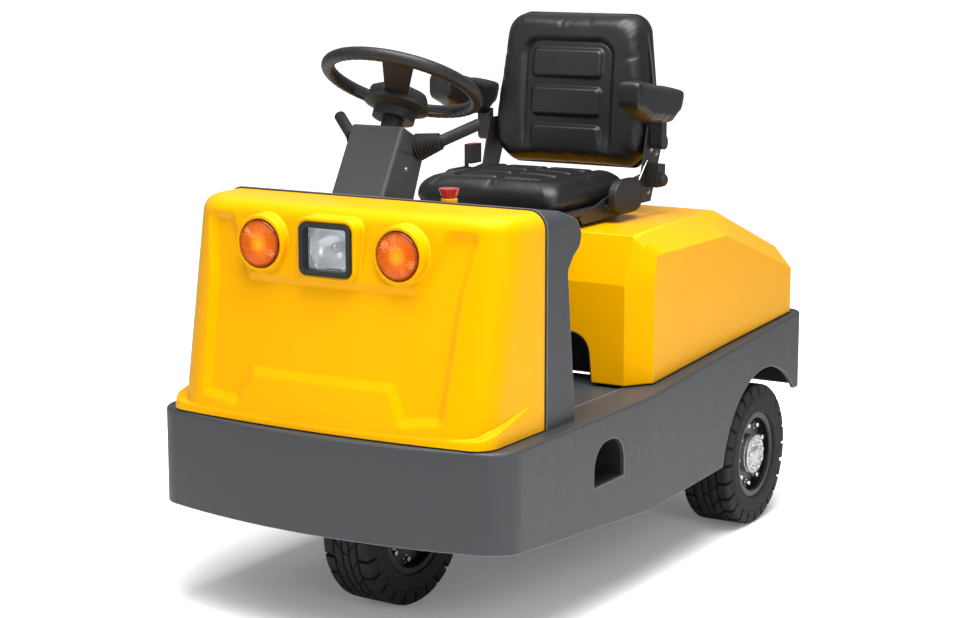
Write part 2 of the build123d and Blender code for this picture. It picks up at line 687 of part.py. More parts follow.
def axle_brackets():
    """Saddle brackets that hang the axle tube from the rails."""
    top_z = RAIL_TOP_Z - RAIL_HEIGHT
    foot_z = TYRE_RADIUS - BRACKET_DROP
    bracket = side_prism(
        [
            (REAR_AXLE_Y - BRACKET_LENGTH / 2, top_z),
            (REAR_AXLE_Y - BRACKET_FOOT / 2, foot_z),
            (REAR_AXLE_Y + BRACKET_FOOT / 2, foot_z),
            (REAR_AXLE_Y + BRACKET_LENGTH / 2, top_z),
        ],
        RAIL_INNER,
        RAIL_INNER + BRACKET_THICK,
    )
    bracket -= rod(AXLE_TUBE_R + SEAT_GAP, RAIL_INNER, RAIL_OUTER, REAR_AXLE_Y, TYRE_RADIUS)
    return pair(bracket)


# ---------------------------------------------------------------- cowl
def cowl_front_y(x, z):
    """Place of the cowl's front face at a point across it and a height."""
    return COWL_FOOT_Y + COWL_LEAN * (z - COWL_FOOT_Z) + COWL_BOW * (x / COWL_HALF_WIDTH) ** 2


def cowl_plan(z, inset, corner, taper):
    """Plan of the cowl at a height: bowed front, rounded corners, sides drawn in, flat back."""
    back_y = DASH_Y - GASKET
    knee_y = back_y - COWL_STRAIGHT
    wide = COWL_HALF_WIDTH - inset
    half = wide - taper * (knee_y - cowl_front_y(wide, z))
    shoulder_y = cowl_front_y(half, z) + inset
    nose_y = cowl_front_y(0, z) + inset
    bow = ThreePointArc((-half, shoulder_y), (0, nose_y), (half, shoulder_y))
    rest = Polyline(
        (half, shoulder_y),
        (wide, knee_y),
        (wide, back_y),
        (-wide, back_y),
        (-wide, knee_y),
        (-half, shoulder_y),
    )
    face = make_face([bow, rest])
    front = face.vertices().filter_by(lambda v: abs(v.Y - shoulder_y) < 1)
    face = fillet(front, corner - inset)
    if taper:
        knees = face.vertices().filter_by(lambda v: abs(v.Y - knee_y) < 1)
        face = fillet(knees, COWL_SIDE_R)
    return Pos(0, 0, z) * face


def cowl_solid(inset):
    """Leaning body of the cowl with rounded top edges, above its foot band."""
    foot = cowl_plan(COWL_FOOT_Z, inset, COWL_CORNER_R, COWL_TAPER)
    head = cowl_plan(COWL_TOP_Z - inset, inset, COWL_CORNER_R, COWL_TAPER)
    body = loft([foot, head])
    top = body.faces().sort_by(Axis.Z)[-1]
    back_y = DASH_Y - GASKET
    rim = top.edges().filter_by(lambda e: e.center().Y < back_y - 1)
    return fillet(rim, COWL_TOP_R - inset)


def cowl_band(inset):
    """Foot band with tight corners; its sloped top shows as a crescent at each corner."""
    low = COWL_FOOT_Z + BAND_HEIGHT - inset
    top = low + BAND_RISE
    sunk = inset + BAND_SETBACK
    plans = [cowl_plan(z, sunk, BAND_CORNER_R, 0) for z in (COWL_FOOT_Z, top)]
    slope = side_prism(
        [(COWL_FOOT_Y, COWL_FOOT_Z), (DASH_Y, COWL_FOOT_Z), (DASH_Y, top), (COWL_FOOT_Y, low)],
        -SKIRT_HALF_WIDTH,
        SKIRT_HALF_WIDTH,
    )
    return loft(plans) & slope


def panel_corners(grow):
    """Corners of the U-shaped sunken panel on the cowl's front, as (x, z)."""
    right = [
        (256 - grow, 868 + grow),
        (331 - grow, 1008 + grow),
        (384 + grow, 1008 + grow),
        (356 + grow, 870),
        (340 + grow, 590 - grow),
        (252 - grow, 580 - grow),
        (212 - grow, 659 - grow),
    ]
    return right + [(-x, z) for x, z in reversed(right)]


def cowl_panel(grow):
    """Block through the cowl's front in the shape of the sunken panel."""
    face = make_face(Polyline(*panel_corners(grow), close=True))
    return front_prism(face, NOSE_Y, FRONT_AXLE_Y - BUMPER_BOW)


def ramp_section(inner, outer):
    """Triangle across the ramp at one corner of the sunken panel."""
    x, z = inner
    low = Vector(x, cowl_front_y(x, z) + PANEL_DEPTH, z)
    rim = Vector(outer[0], cowl_front_y(*outer), outer[1])
    past = low + (rim - low) * RAMP_PAST
    clear = Vector(x, COWL_FOOT_Y - BUMPER_BOW, z)
    return make_face(Polyline(low, past, clear, close=True))


def panel_ramps():
    """Wedges that slope the sunken panel's edges up to the cowl's face."""
    pairs = zip(panel_corners(0), panel_corners(PANEL_RAMP))
    sections = [ramp_section(inner, outer) for inner, outer in pairs]
    nexts = sections[1:] + sections[:1]
    return [loft([one, two], ruled=True) for one, two in zip(sections, nexts)]


def lamp_place(x):
    """Place of a lamp's front on the cowl, its Z axis looking straight ahead."""
    return Pos(x, cowl_front_y(x, LAMP_Z) - LAMP_PROUD, LAMP_Z) * Rot(90, 0, 0)


def lamp_disc(radius, depth):
    """Round plate behind a lamp's front."""
    return Pos(0, 0, -depth / 2) * Cylinder(radius, depth)


def headlamp_block(margin, depth):
    """Rounded block of the headlamp behind its front."""
    width = HEADLAMP_WIDTH + 2 * margin
    height = HEADLAMP_HEIGHT + 2 * margin
    return extrude(RectangleRounded(width, height, HEADLAMP_CORNER_R + margin), amount=-depth)


def front_cowl():
    """Hollow moulded cowl with its sunken panel and lamp collars."""
    outer = cowl_solid(0) + cowl_band(0)
    inner = cowl_solid(COWL_WALL) + cowl_band(COWL_WALL)
    sunk = cowl_panel(0) - Pos(0, PANEL_DEPTH, 0) * cowl_solid(0)
    sunk_back = cowl_panel(PANEL_RAMP + COWL_WALL) - Pos(0, PANEL_DEPTH + COWL_WALL, 0) * cowl_solid(0)
    cowl = outer - sunk
    for ramp in panel_ramps():
        cowl -= ramp
    cowl -= inner - sunk_back
    for x in (-LAMP_X, LAMP_X):
        cowl += lamp_place(x) * lamp_disc(LAMP_COLLAR_R, LAMP_DEPTH)
        cowl -= lamp_place(x) * lamp_disc(LAMP_LENS_R + SEAT_GAP, 2 * LAMP_DEPTH)
    cowl += lamp_place(0) * headlamp_block(HEADLAMP_RIM, LAMP_DEPTH)
    return cowl - lamp_place(0) * headlamp_block(SEAT_GAP, 2 * LAMP_DEPTH)


def amber_lenses():
    """Round front lamp lenses with soft edges, seated in their collars."""
    lens = lamp_disc(LAMP_LENS_R, LENS_THICK)
    lens = fillet(lens.edges().sort_by(Axis.Z)[-1], LENS_EDGE_R)
    sunk = Pos(0, 0, -LENS_SINK) * lens
    return Compound(children=[lamp_place(x) * sunk for x in (-LAMP_X, LAMP_X)])


def headlamp_frame():
    """Black frame round the headlamp glass, closed behind it."""
    frame = headlamp_block(0, LAMP_DEPTH)
    frame -= headlamp_block(-HEADLAMP_BEZEL, LAMP_DEPTH - HEADLAMP_BEZEL)
    return lamp_place(0) * Pos(0, 0, HEADLAMP_LIP) * frame


def headlamp_lens():
    """Clear headlamp glass, set back in its frame."""
    glass = headlamp_block(-HEADLAMP_BEZEL - SEAT_GAP, GLASS_THICK)
    return lamp_place(0) * Pos(0, 0, HEADLAMP_LIP - HEADLAMP_RECESS) * glass


def cowl_gasket():
    """Rubber strip under the cowl's foot and round its joint with the dash shell."""
    plans = [cowl_plan(COWL_FOOT_Z, 1 + inset, BAND_CORNER_R, 0) for inset in (0, COWL_WALL)]
    outer, inner = [extrude(Pos(0, 0, -GASKET) * plan, amount=GASKET) for plan in plans]
    hoop = front_prism(dash_front(DASH_PROUD + 1), DASH_Y - GASKET, DASH_Y)
    hoop -= front_prism(dash_front(DASH_PROUD + COWL_WALL + 1), DASH_Y - GASKET, DASH_Y)
    return outer - inner + hoop


# ---------------------------------------------------------------- dash
def dash_front(inset):
    """Front view of the dash shell in (x, z), drawn inwards from its outer face."""
    half = COWL_HALF_WIDTH + DASH_PROUD - inset
    face = make_face(
        Polyline(
            (-half, DECK_Z),
            (half, DECK_Z),
            (half, DASH_TOP_Z - inset),
            (-half, DASH_TOP_Z - inset),
            close=True,
        )
    )
    return fillet(face.vertices().sort_by(Axis.Y)[2:], DASH_TOP_R - inset)


def dash_solid(inset):
    """Dash form: broad foot, slim waist, overhanging brow and a top that falls to the rear."""
    curve = [DASH_WAIST, DASH_NECK, DASH_CHIN, DASH_BROW, DASH_CREST, DASH_CROWN]
    corners = [(0, DECK_Z), DASH_FOOT, *curve, (0, DASH_TOP_Z)]
    face = make_face(Polyline(*[(DASH_Y + y, z) for y, z in corners], close=True))
    bends = face.vertices().filter_by(lambda v: v.X > DASH_Y + 1 and v.Y > DECK_Z + 1)
    face = fillet(bends, DASH_BEND_R)
    if inset:
        face = offset(face, amount=-inset)
    half = COWL_HALF_WIDTH + DASH_PROUD
    side = Pos(inset - half, 0, 0) * extrude(Plane.YZ * face, amount=2 * (half - inset))
    return side & front_prism(dash_front(inset), DASH_Y, DASH_Y + 2 * DASH_FOOT[0])


def dash_shell():
    """Shell behind the cowl, closed towards the driver and open to the front and below."""
    inner = dash_solid(DASH_WALL)
    return dash_solid(0) - inner - Pos(0, -DASH_WALL, 0) * inner - Pos(0, 0, -DASH_WALL) * inner


def column_place(along):
    """Place on the leaning steering shaft, a length above the housing's top."""
    y, z = COLUMN_HEAD
    head = Pos(COLUMN_X, DASH_Y + y + HEAD_BACK / 2, z - HEAD_FALL / 2)
    return head * Rot(-COLUMN_LEAN, 0, 0) * Pos(0, 0, along)


def column_box():
    """Leaning steering column housing that stands on the dash top."""
    y, z = COLUMN_HEAD
    corners = [COLUMN_HEEL, COLUMN_HEAD, (y + HEAD_BACK, z - HEAD_FALL), COLUMN_TOE]
    half = COLUMN_WIDTH / 2
    body = side_prism([(DASH_Y + y, z) for y, z in corners], COLUMN_X - half, COLUMN_X + half)
    return fillet(body.edges(), COLUMN_EDGE_R) - dash_solid(0)


def column_collar():
    """Steel shaft end and round black collar between the housing and the steering wheel."""
    foot = STEM_LENGTH - COLLAR_DROP
    top = STEM_LENGTH - BOSS_DROP - SEAT_GAP
    shaft = Pos(0, 0, foot / 2) * Cylinder(SHAFT_RADIUS, foot)
    collar = Pos(0, 0, (foot + top) / 2) * Cylinder(COLLAR_RADIUS, top - foot)
    return column_place(0) * (shaft + collar)


def turned(points):
    """Outline of (radial, axial) points turned about the steering shaft."""
    face = make_face(Polyline(*points, close=True))
    return column_place(STEM_LENGTH) * revolve(Plane.XZ * face, Axis.Z)


def wheel_boss():
    """Centre boss of the steering wheel: bell flange below, round cover above."""
    bell = BOSS_BELL - BOSS_DROP
    return turned(
        [
            (0, -BOSS_DROP),
            (COLLAR_RADIUS, -BOSS_DROP),
            (BOSS_RADIUS, bell),
            (BOSS_RADIUS, bell + BOSS_LIP),
            (BOSS_TOP_RADIUS, bell + BOSS_LIP + BOSS_CAP / 2),
            (BOSS_TOP_RADIUS, -BOSS_TOP - BOSS_CAP),
            (BOSS_TOP_RADIUS - BOSS_CAP, -BOSS_TOP),
            (0, -BOSS_TOP),
        ]
    )


def wheel_spoke(width):
    """Spoke along +X that drops from the rim to the boss."""
    root = Pos(BOSS_TOP_RADIUS - BOSS_CAP, 0, -SPOKE_DROP)
    sections = [
        root * (Plane.YZ * Rectangle(width * SPOKE_TAPER, SPOKE_THICK)),
        Pos(WHEEL_RADIUS, 0, 0) * (Plane.YZ * Rectangle(width, SPOKE_THICK)),
    ]
    return loft(sections, ruled=True)


def steering_wheel():
    """Round rim on one broad and two slim spokes."""
    wheel = Torus(WHEEL_RADIUS, WHEEL_GRIP_R)
    ahead = SPOKE_TURN - 90
    # columns: direction about the shaft, width
    spokes = [
        (ahead, BROAD_SPOKE),
        (ahead + SPOKE_SPREAD, SLIM_SPOKE),
        (ahead - SPOKE_SPREAD, SLIM_SPOKE),
    ]
    for angle, width in spokes:
        wheel += Rot(0, 0, angle) * wheel_spoke(width)
    return column_place(STEM_LENGTH) * wheel - wheel_boss()


def lever_run(side, start, end):
    """Place at one point of a lever with its Z axis towards another, and the length between."""
    ends = [(COLUMN_X + side * (COLUMN_WIDTH / 2 + x), DASH_Y + y, z) for x, y, z in (start, end)]
    run = Vector(*ends[1]) - Vector(*ends[0])
    return Plane(origin=ends[0], z_dir=run).location, run.length


def lever_boots():
    """Ribbed rubber boots at the foot of the two levers."""
    housing = column_box() + dash_solid(0)
    boots = []
    for side in (-1, 1):
        place, length = lever_run(side, LEVER_ROOT, LEVER_ELBOW)
        boot = Pos(0, 0, length / 2) * Cone(BOOT_ROOT_R, BOOT_TIP_R, length)
        pitch = length / BOOT_RIBS
        for i in range(BOOT_RIBS):
            share = (i + 0.5) / BOOT_RIBS
            radius = BOOT_ROOT_R + (BOOT_TIP_R - BOOT_ROOT_R) * share + BOOT_RIB
            boot += Pos(0, 0, length * share) * Cylinder(radius, pitch / 2)
        boots.append(place * boot - housing)
    return Compound(children=boots)


def lever_grips():
    """Round grips of the two levers, past their boots."""
    grips = []
    for side in (-1, 1):
        place, length = lever_run(side, LEVER_ELBOW, LEVER_TIP)
        grip = Pos(0, 0, length / 2) * Cylinder(GRIP_RADIUS, length)
        grip = chamfer(grip.edges().sort_by(Axis.Z)[-1], GRIP_EDGE)
        grips.append(place * grip)
    return Compound(children=grips) - lever_boots()


def stop_base():
    """Yellow base of the emergency stop, on the dash top."""
    place = Pos(STOP_X, DASH_Y + STOP_BACK, STOP_BASE_Z - STOP_BASE / 2)
    return place * Cylinder(STOP_BASE_R, STOP_BASE) - dash_solid(0)


def stop_button():
    """Red mushroom head of the emergency stop, wider towards its top."""
    neck = Pos(0, 0, STOP_NECK / 2) * Cylinder(STOP_NECK_R, STOP_NECK)
    head = Pos(0, 0, STOP_NECK + STOP_HEAD / 2) * Cone(STOP_BASE_R, STOP_RADIUS, STOP_HEAD)
    return Pos(STOP_X, DASH_Y + STOP_BACK, STOP_BASE_Z) * (neck + head)


def foot_pedals():
    """Wedge-shaped brake and accelerator pedals on the floor, in front of the dash foot."""
    near = DASH_BACK_Y + PEDAL_GAP
    wedge = [
        (near, FLOOR_Z),
        (near + PEDAL_LENGTH, FLOOR_Z),
        (near + PEDAL_TOP, FLOOR_Z + PEDAL_RISE),
        (near, FLOOR_Z + PEDAL_RISE - PEDAL_FALL),
    ]
    # columns: middle across, width
    places = [(BRAKE_X, BRAKE_WIDTH), (THROTTLE_X, THROTTLE_WIDTH)]
    return Compound(children=[side_prism(wedge, x - w / 2, x + w / 2) for x, w in places])


# ---------------------------------------------------------------- hood
def hood_base_z(y):
    """Lower edge of the hood, a seal's height above the skirt."""
    return skirt_top_z(y) + HOOD_SEAL


def hood_section(y, half, side_z, top_half, top_z, inset):
    """Cross-section of the hood at a station: upright sides, chamfers and a flat top."""
    right = [
        (half - inset, hood_base_z(y)),
        (half - inset, side_z - inset / 2),
        (top_half - inset / 2, top_z - inset),
    ]
    left = [(-x, z) for x, z in reversed(right)]
    return Pos(0, y, 0) * (Plane.XZ * make_face(Polyline(*right, *left, close=True)))


def beyond(point, normal, inset):
    """Large block outside a plane that is drawn inwards by an inset."""
    outside = Vector(*normal).normalized()
    plane = Plane(origin=Vector(*point) - outside * inset, z_dir=outside)
    size = 2 * HOOD_HALF_WIDTH
    return plane.location * Pos(0, 0, size / 2) * Box(size, size, size)


def hood_solid(inset):
    """Outer form of the hood: faceted, leaning front corners, flat top and sloping tail."""
    front = HOOD_FRONT_Y + inset
    tail = HOOD_TAIL_Y - inset
    cut = HOOD_TAIL_CUT
    at_kink = (HOOD_TOP_KINK_Y - HOOD_SIDE_KINK_Y) / (tail - HOOD_SIDE_KINK_Y)
    kink_side_z = HOOD_SIDE_Z + (HOOD_TAIL_SIDE_Z - HOOD_SIDE_Z) * at_kink
    kink_half = HOOD_HALF_WIDTH + (HOOD_TAIL_HALF - HOOD_HALF_WIDTH) * at_kink
    tail_top = HOOD_TAIL_TOP_Z - 2 * cut
    # columns: station, half width, height of the side's edge, half width of the top, top height
    stations = [
        (front, HOOD_HALF_WIDTH, HOOD_SIDE_Z, HOOD_TOP_FRONT, HOOD_TOP_Z),
        (HOOD_SIDE_KINK_Y, HOOD_HALF_WIDTH, HOOD_SIDE_Z, HOOD_TOP_BACK, HOOD_TOP_Z),
        (HOOD_TOP_KINK_Y, kink_half, kink_side_z, HOOD_TOP_BACK, HOOD_TOP_Z),
        (tail - cut, HOOD_TAIL_HALF, HOOD_TAIL_SIDE_Z, HOOD_TAIL_TOP_HALF, HOOD_TAIL_TOP_Z),
        (tail, HOOD_TAIL_HALF - cut, HOOD_TAIL_SIDE_Z - cut, HOOD_TAIL_TOP_HALF - cut, tail_top),
    ]
    body = loft([hood_section(*station, inset) for station in stations], ruled=True)
    body -= beyond((0, HOOD_FRONT_Y, HOOD_BREAK_Z), (0, -1, HOOD_FRONT_LEAN), inset)
    for side in (-1, 1):
        across = side * cos(radians(HOOD_FACET_ANGLE))
        ahead = -sin(radians(HOOD_FACET_ANGLE))
        corner = (side * HOOD_FACET_X, HOOD_FRONT_Y, HOOD_BREAK_Z)
        body -= beyond(corner, (across, ahead, 0), inset)
        body -= beyond(corner, (across, ahead, HOOD_FACET_LEAN), inset)
    return body


def heel_outline(grow):
    """Arched heel opening in the hood's front, drawn in (x, z), wider towards the floor."""
    half = HEEL_HALF + grow
    foot = half + HEEL_SPLAY
    foot_z = DECK_Z - FLOOR_THICK
    top_z = HEEL_TOP_Z + grow
    face = make_face(Polyline((-foot, foot_z), (foot, foot_z), (half, top_z), (-half, top_z), close=True))
    return fillet(face.vertices().sort_by(Axis.Y)[2:], HEEL_CORNER_R + grow)


def battery_hood():
    """Hollow hood with a heel opening in front and hinge ears at its tail."""
    hood = hood_solid(0) - hood_solid(HOOD_WALL)
    opening = front_prism(heel_outline(0), HOOD_FRONT_Y - 1, HOOD_FRONT_Y + 2 * HOOD_WALL)
    hood -= opening
    for x in (HINGE_X - HINGE_EAR - SEAT_GAP, HINGE_X + HINGE_LENGTH + SEAT_GAP):
        ear = rod(HINGE_RADIUS, x, x + HINGE_EAR, HINGE_Y, HINGE_Z)
        ear += block(x, x + HINGE_EAR, HOOD_TAIL_Y, HINGE_Y, HINGE_Z, HINGE_Z + HINGE_RADIUS)
        hood += ear
        hood += mirror(ear, Plane.YZ)
    return hood


def heel_recess():
    """Black tray behind the hood's heel opening."""
    front = HOOD_FRONT_Y
    base = hood_base_z(HOOD_FRONT_Y) + HOOD_SEAL
    outer = front_prism(heel_outline(-SEAT_GAP), front + 1, front + HEEL_DEPTH)
    inner = front_prism(heel_outline(-SEAT_GAP - STEP_WALL), front + 1, front + HEEL_DEPTH - STEP_WALL)
    half = HEEL_HALF + HEEL_SPLAY
    below = block(-half, half, front, front + HEEL_DEPTH, 0, base)
    return outer - inner - below


def hood_seal():
    """Rubber strips on the skirt's flange under the hood's sides."""
    start = HOOD_FRONT_Y + HOOD_FACET_LENGTH
    end = HOOD_TAIL_Y
    height = HOOD_SEAL - SEAT_GAP
    strip = side_prism(
        [
            (start, skirt_top_z(start)),
            (end, skirt_top_z(end)),
            (end, skirt_top_z(end) + height),
            (start, skirt_top_z(start) + height),
        ],
        HOOD_HALF_WIDTH - HOOD_SEAL_WIDTH,
        HOOD_HALF_WIDTH,
    )
    return pair(strip)


def hood_hinges():
    """Fixed hinge barrels on the skirt's flange behind the hood."""
    foot = skirt_top_z(HINGE_Y + HINGE_RADIUS) + RUN_GAP
    end = HINGE_X + HINGE_LENGTH
    hinge = rod(HINGE_RADIUS, HINGE_X, end, HINGE_Y, HINGE_Z)
    hinge += block(HINGE_X, end, HINGE_Y, HINGE_Y + HINGE_RADIUS, foot, HINGE_Z)
    return pair(hinge)


def battery():
    """Traction battery as one plain block on the rails."""
    front = HOOD_FRONT_Y + HEEL_DEPTH + BATTERY_FRONT_GAP
    back = HOOD_TOP_KINK_Y + BATTERY_BACK_REACH
    return block(-RAIL_OUTER, RAIL_OUTER, front, back, RAIL_TOP_Z, HOOD_TOP_Z - BATTERY_TOP_GAP)


# ---------------------------------------------------------------- seat
def seat_base():
    """Two slide rails on the hood and the pan they carry, with its side wedges."""
    front = CUSHION_FRONT_Y + PAN_INSET
    back = CUSHION_BACK_Y - PAN_BACK
    low = PAN_Z - PAN_THICK
    side = SEAT_WIDTH / 2 + SEAT_GAP
    pan = side_prism(
        [(front, low), (back, low), (back, PAN_Z), (front - PAN_NOSE, PAN_Z)],
        -side - PAN_SIDE,
        side + PAN_SIDE,
    )
    wedge = [(CUSHION_FRONT_Y + y, z) for y, z in PAN_WEDGE]
    extras = side_prism(wedge, side, side + PAN_SIDE)
    start = HOOD_FRONT_Y + HOOD_FACET_LENGTH
    half = SLIDE_WIDTH / 2
    extras += block(SLIDE_X - half, SLIDE_X + half, start, back, HOOD_TOP_Z, low)
    return pan + extras + mirror(extras, Plane.YZ)


def seat_cushion():
    """Seat cushion, a plain closed block with rounded corners."""
    half = SEAT_WIDTH / 2
    pad = block(-half, half, CUSHION_FRONT_Y, CUSHION_BACK_Y, PAN_Z, CUSHION_TOP_Z)
    pad = fillet(pad.edges().filter_by(Axis.Z), PAD_CORNER_R)
    return fillet(pad.edges().group_by(Axis.Z)[-1], PAD_EDGE_R)


def on_back(piece):
    """Places a piece drawn about the foot of the backrest: Z up the back, Y through it."""
    return Pos(0, BACK_FOOT_Y, BACK_FOOT_Z) * Rot(-BACK_LEAN, 0, 0) * piece


def back_outline(margin):
    """Front view of the backrest: broad shoulders, a narrower foot."""
    top = BACK_PROFILE[-1][1]
    right = [(x - margin, min(max(z, margin), top - margin)) for x, z in BACK_PROFILE]
    left = [(-x, z) for x, z in reversed(right)]
    face = make_face(Polyline(*right, *left, close=True))
    # rounding of each pair of corners, from the foot up
    radii = [BACK_FOOT_R, BACK_FOOT_R, BACK_SIDE_R, BACK_SIDE_R, BACK_TOP_R]
    for (x, z), radius in zip(right, radii):
        corners = face.vertices().filter_by(lambda v: abs(abs(v.X) - x) < 1 and abs(v.Y - z) < 1)
        face = fillet(corners, radius - margin)
    return face


def backrest_pad():
    """Backrest cushion, a plain closed form of the right outline."""
    return on_back(front_prism(back_outline(BACK_PAD_MARGIN), 0, BACK_THICK - SHELL_THICK))


def backrest_shell():
    """Hard shell behind the backrest cushion."""
    return on_back(front_prism(back_outline(0), BACK_THICK - SHELL_THICK + SEAT_GAP, BACK_THICK))


def seat_brackets():
    """Side plates from the seat pan up to the backrest shell, with the armrest pins."""
    low = PAN_Z - PAN_THICK
    back_y = BACK_FOOT_Y + BACK_THICK + SIDE_PLATE_TAIL
    plate = side_prism(
        [
            (CUSHION_BACK_Y - SIDE_PLATE_REACH, low),
            (CUSHION_BACK_Y + SIDE_PLATE_BACK, low),
            (back_y, ARM_PIVOT_Z - SIDE_PLATE_HALF),
            (back_y, ARM_PIVOT_Z + 2 * SIDE_PLATE_HALF),
            (ARM_PIVOT_Y - SIDE_PLATE_HALF, ARM_PIVOT_Z + 2 * SIDE_PLATE_HALF),
            (CUSHION_BACK_Y, CUSHION_TOP_Z),
            (CUSHION_BACK_Y - SIDE_PLATE_REACH, CUSHION_TOP_Z - SIDE_PLATE_HALF),
        ],
        SIDE_PLATE_X,
        SIDE_PLATE_OUTER,
    )
    pin = rod(ARM_PIN_R, SIDE_PLATE_X, ARM_X, ARM_PIVOT_Y, ARM_PIVOT_Z)
    side = SEAT_WIDTH / 2 + SEAT_GAP + PAN_SIDE
    start = CUSHION_BACK_Y - SIDE_PLATE_REACH
    foot = block(side, SIDE_PLATE_X, start, CUSHION_BACK_Y - PAN_BACK, low, PAN_Z)
    back = BACK_THICK + SEAT_GAP
    tab = block(BACK_TAB_INNER, SIDE_PLATE_OUTER, back, back + BACK_TAB, BACK_TAB_LOW, BACK_TAB_TOP)
    return pair(plate + pin + foot + on_back(tab))


def hip_covers():
    """Long rounded plastic covers over the recliner joints."""
    face = Plane.YZ * Pos(HIP_Y, HIP_Z) * SlotOverall(HIP_LENGTH, HIP_HEIGHT)
    cover = Pos(SIDE_PLATE_OUTER, 0, 0) * extrude(face, amount=HIP_THICK)
    return pair(fillet(cover.faces().sort_by(Axis.X)[-1].edges(), HIP_EDGE_R))


def belt_retractor():
    """Seat belt retractor on the left bracket."""
    x = SIDE_PLATE_OUTER
    y = CUSHION_BACK_Y + RETRACTOR_TOP
    low = CUSHION_TOP_Z - RETRACTOR_LOW
    return block(x, x + RETRACTOR_WIDTH, y, y + RETRACTOR_LENGTH, low, CUSHION_TOP_Z + RETRACTOR_TOP)


def belt_buckle():
    """Seat belt buckle on its stalk at the right side of the cushion."""
    x = -SEAT_WIDTH / 2 - BUCKLE_GAP
    y = CUSHION_BACK_Y - BUCKLE_BACK
    half = BUCKLE_LENGTH / 2
    foot_z = CUSHION_TOP_Z + BUCKLE_FOOT
    stalk = block(x - BUCKLE_STALK, x, y - half, y - half / 2, PAN_Z, foot_z)
    head_x = x - BUCKLE_STALK
    head = block(head_x, head_x + BUCKLE_WIDTH, y - half, y + half, foot_z, CUSHION_TOP_Z + BUCKLE_TOP)
    return stalk + head


def at_arm(piece, side):
    """Places a left armrest piece drawn about its pivot, X measured from the centreline."""
    placed = Pos(0, ARM_PIVOT_Y, ARM_PIVOT_Z) * piece
    return placed if side > 0 else mirror(placed, Plane.YZ)


def arm_form():
    """Padded armrest, deeper at the rear and rising to the front."""
    inner = ARM_X - ARM_WIDTH / 2
    pad = side_prism(ARM_PROFILE, inner, inner + ARM_WIDTH)
    return fillet(pad.edges().filter_by(Axis.X), ARM_EDGE_R)


def arm_pad(side):
    """Armrest pad of one side."""
    return at_arm(arm_form(), side)


def arm_link(side):
    """Eye on the bracket's pin with a strap up to the underside of the pad."""
    inner = SIDE_PLATE_OUTER + 2 * END_GAP
    link = block(ARM_X - ARM_WIDTH / 2, ARM_X, -ARM_LINK_R, ARM_LINK_R / 2, 0, ARM_LINK_RISE)
    link += rod(ARM_LINK_R, inner, ARM_X, 0, 0)
    return at_arm(link - rod(ARM_PIN_R + RUN_GAP, inner, ARM_X, 0, 0) - arm_form(), side)


# ---------------------------------------------------------------- tail
def tow_hitch():
    """Bolted plate with two ears and a vertical pin bore."""
    plate = block(-HITCH_HALF, HITCH_HALF, TAIL_Y, TAIL_Y + HITCH_PLATE, HITCH_LOW_Z, HITCH_TOP_Z)
    end_y = TAIL_Y + HITCH_REACH
    for z in (HITCH_Z - HITCH_JAW / 2 - HITCH_EAR, HITCH_Z + HITCH_JAW / 2):
        ear = block(-HITCH_EAR_R, HITCH_EAR_R, TAIL_Y + HITCH_PLATE, end_y - HITCH_EAR_R, z, z + HITCH_EAR)
        tip = Pos(0, end_y - HITCH_EAR_R, z + HITCH_EAR / 2) * Cylinder(HITCH_EAR_R, HITCH_EAR)
        plate += ear + tip
    bore = Pos(0, end_y - HITCH_EAR_R, HITCH_Z) * Cylinder(HITCH_BORE_R, 2 * HITCH_JAW)
    return plate - bore


def tail_lamps():
    """Round red lamps on the skirt's rear face."""
    z = (skirt_top_z(TAIL_Y) + TAIL_LOW_Z) / 2
    lamp = Pos(TAIL_LAMP_X, TAIL_Y + TAIL_LAMP_DEPTH / 2, z) * Rot(90, 0, 0)
    return pair(lamp * Cylinder(TAIL_LAMP_R, TAIL_LAMP_DEPTH))


PIECES = {
    "chassis_skirt": chassis_skirt,
    "step_boxes": step_boxes,
    "chassis_frame": chassis_frame,
    "turntable_ring": turntable_ring,
    "floor_plate": floor_plate,
    "wheel_liners": wheel_liners,
    "rear_axle": rear_axle,
    "traction_motor": traction_motor,
    "axle_brackets": axle_brackets,
    "steer_fork": steer_fork,
    "front_axle_pin": front_axle_pin,
    "front_cowl": front_cowl,
    "cowl_gasket": cowl_gasket,
    "amber_lenses": amber_lenses,
    "headlamp_frame": headlamp_frame,
    "headlamp_lens": headlamp_lens,
    "dash_shell": dash_shell,
    "column_box": column_box,
    "column_collar": column_collar,
    "steering_wheel": steering_wheel,
    "wheel_boss": wheel_boss,
    "lever_boots": lever_boots,
    "lever_grips": lever_grips,
    "stop_base": stop_base,
    "stop_button": stop_button,
    "foot_pedals": foot_pedals,
    "battery_hood": battery_hood,
    "heel_recess": heel_recess,
    "hood_seal": hood_seal,
    "hood_hinges": hood_hinges,
    "battery": battery,
    "seat_base": seat_base,
    "seat_cushion": seat_cushion,
    "backrest_pad": backrest_pad,
    "backrest_shell": backrest_shell,
    "seat_brackets": seat_brackets,
    "hip_covers": hip_covers,
    "belt_retractor": belt_retractor,
    "belt_buckle": belt_buckle,
    "tow_hitch": tow_hitch,
    "tail_lamps": tail_lamps,
}


def wheel_pieces():
    """Tyre, rim and hub of each wheel, already in place."""
    pieces = {
        "front_tyre": at_front_wheel(tyre()),
        "front_rim": at_front_wheel(rim()),
        "front_hub": at_front_wheel(front_hub()),
    }
    for name, side in (("left", 1), ("right", -1)):
        pieces["rear_tyre_" + name] = at_rear_wheel(tyre(), side)
        pieces["rear_rim_" + name] = at_rear_wheel(rim(), side)
        pieces["rear_hub_" + name] = at_rear_wheel(rear_hub(), side)
        pieces["arm_pad_" + name] = arm_pad(side)
        pieces["arm_link_" + name] = arm_link(side)
    return pieces


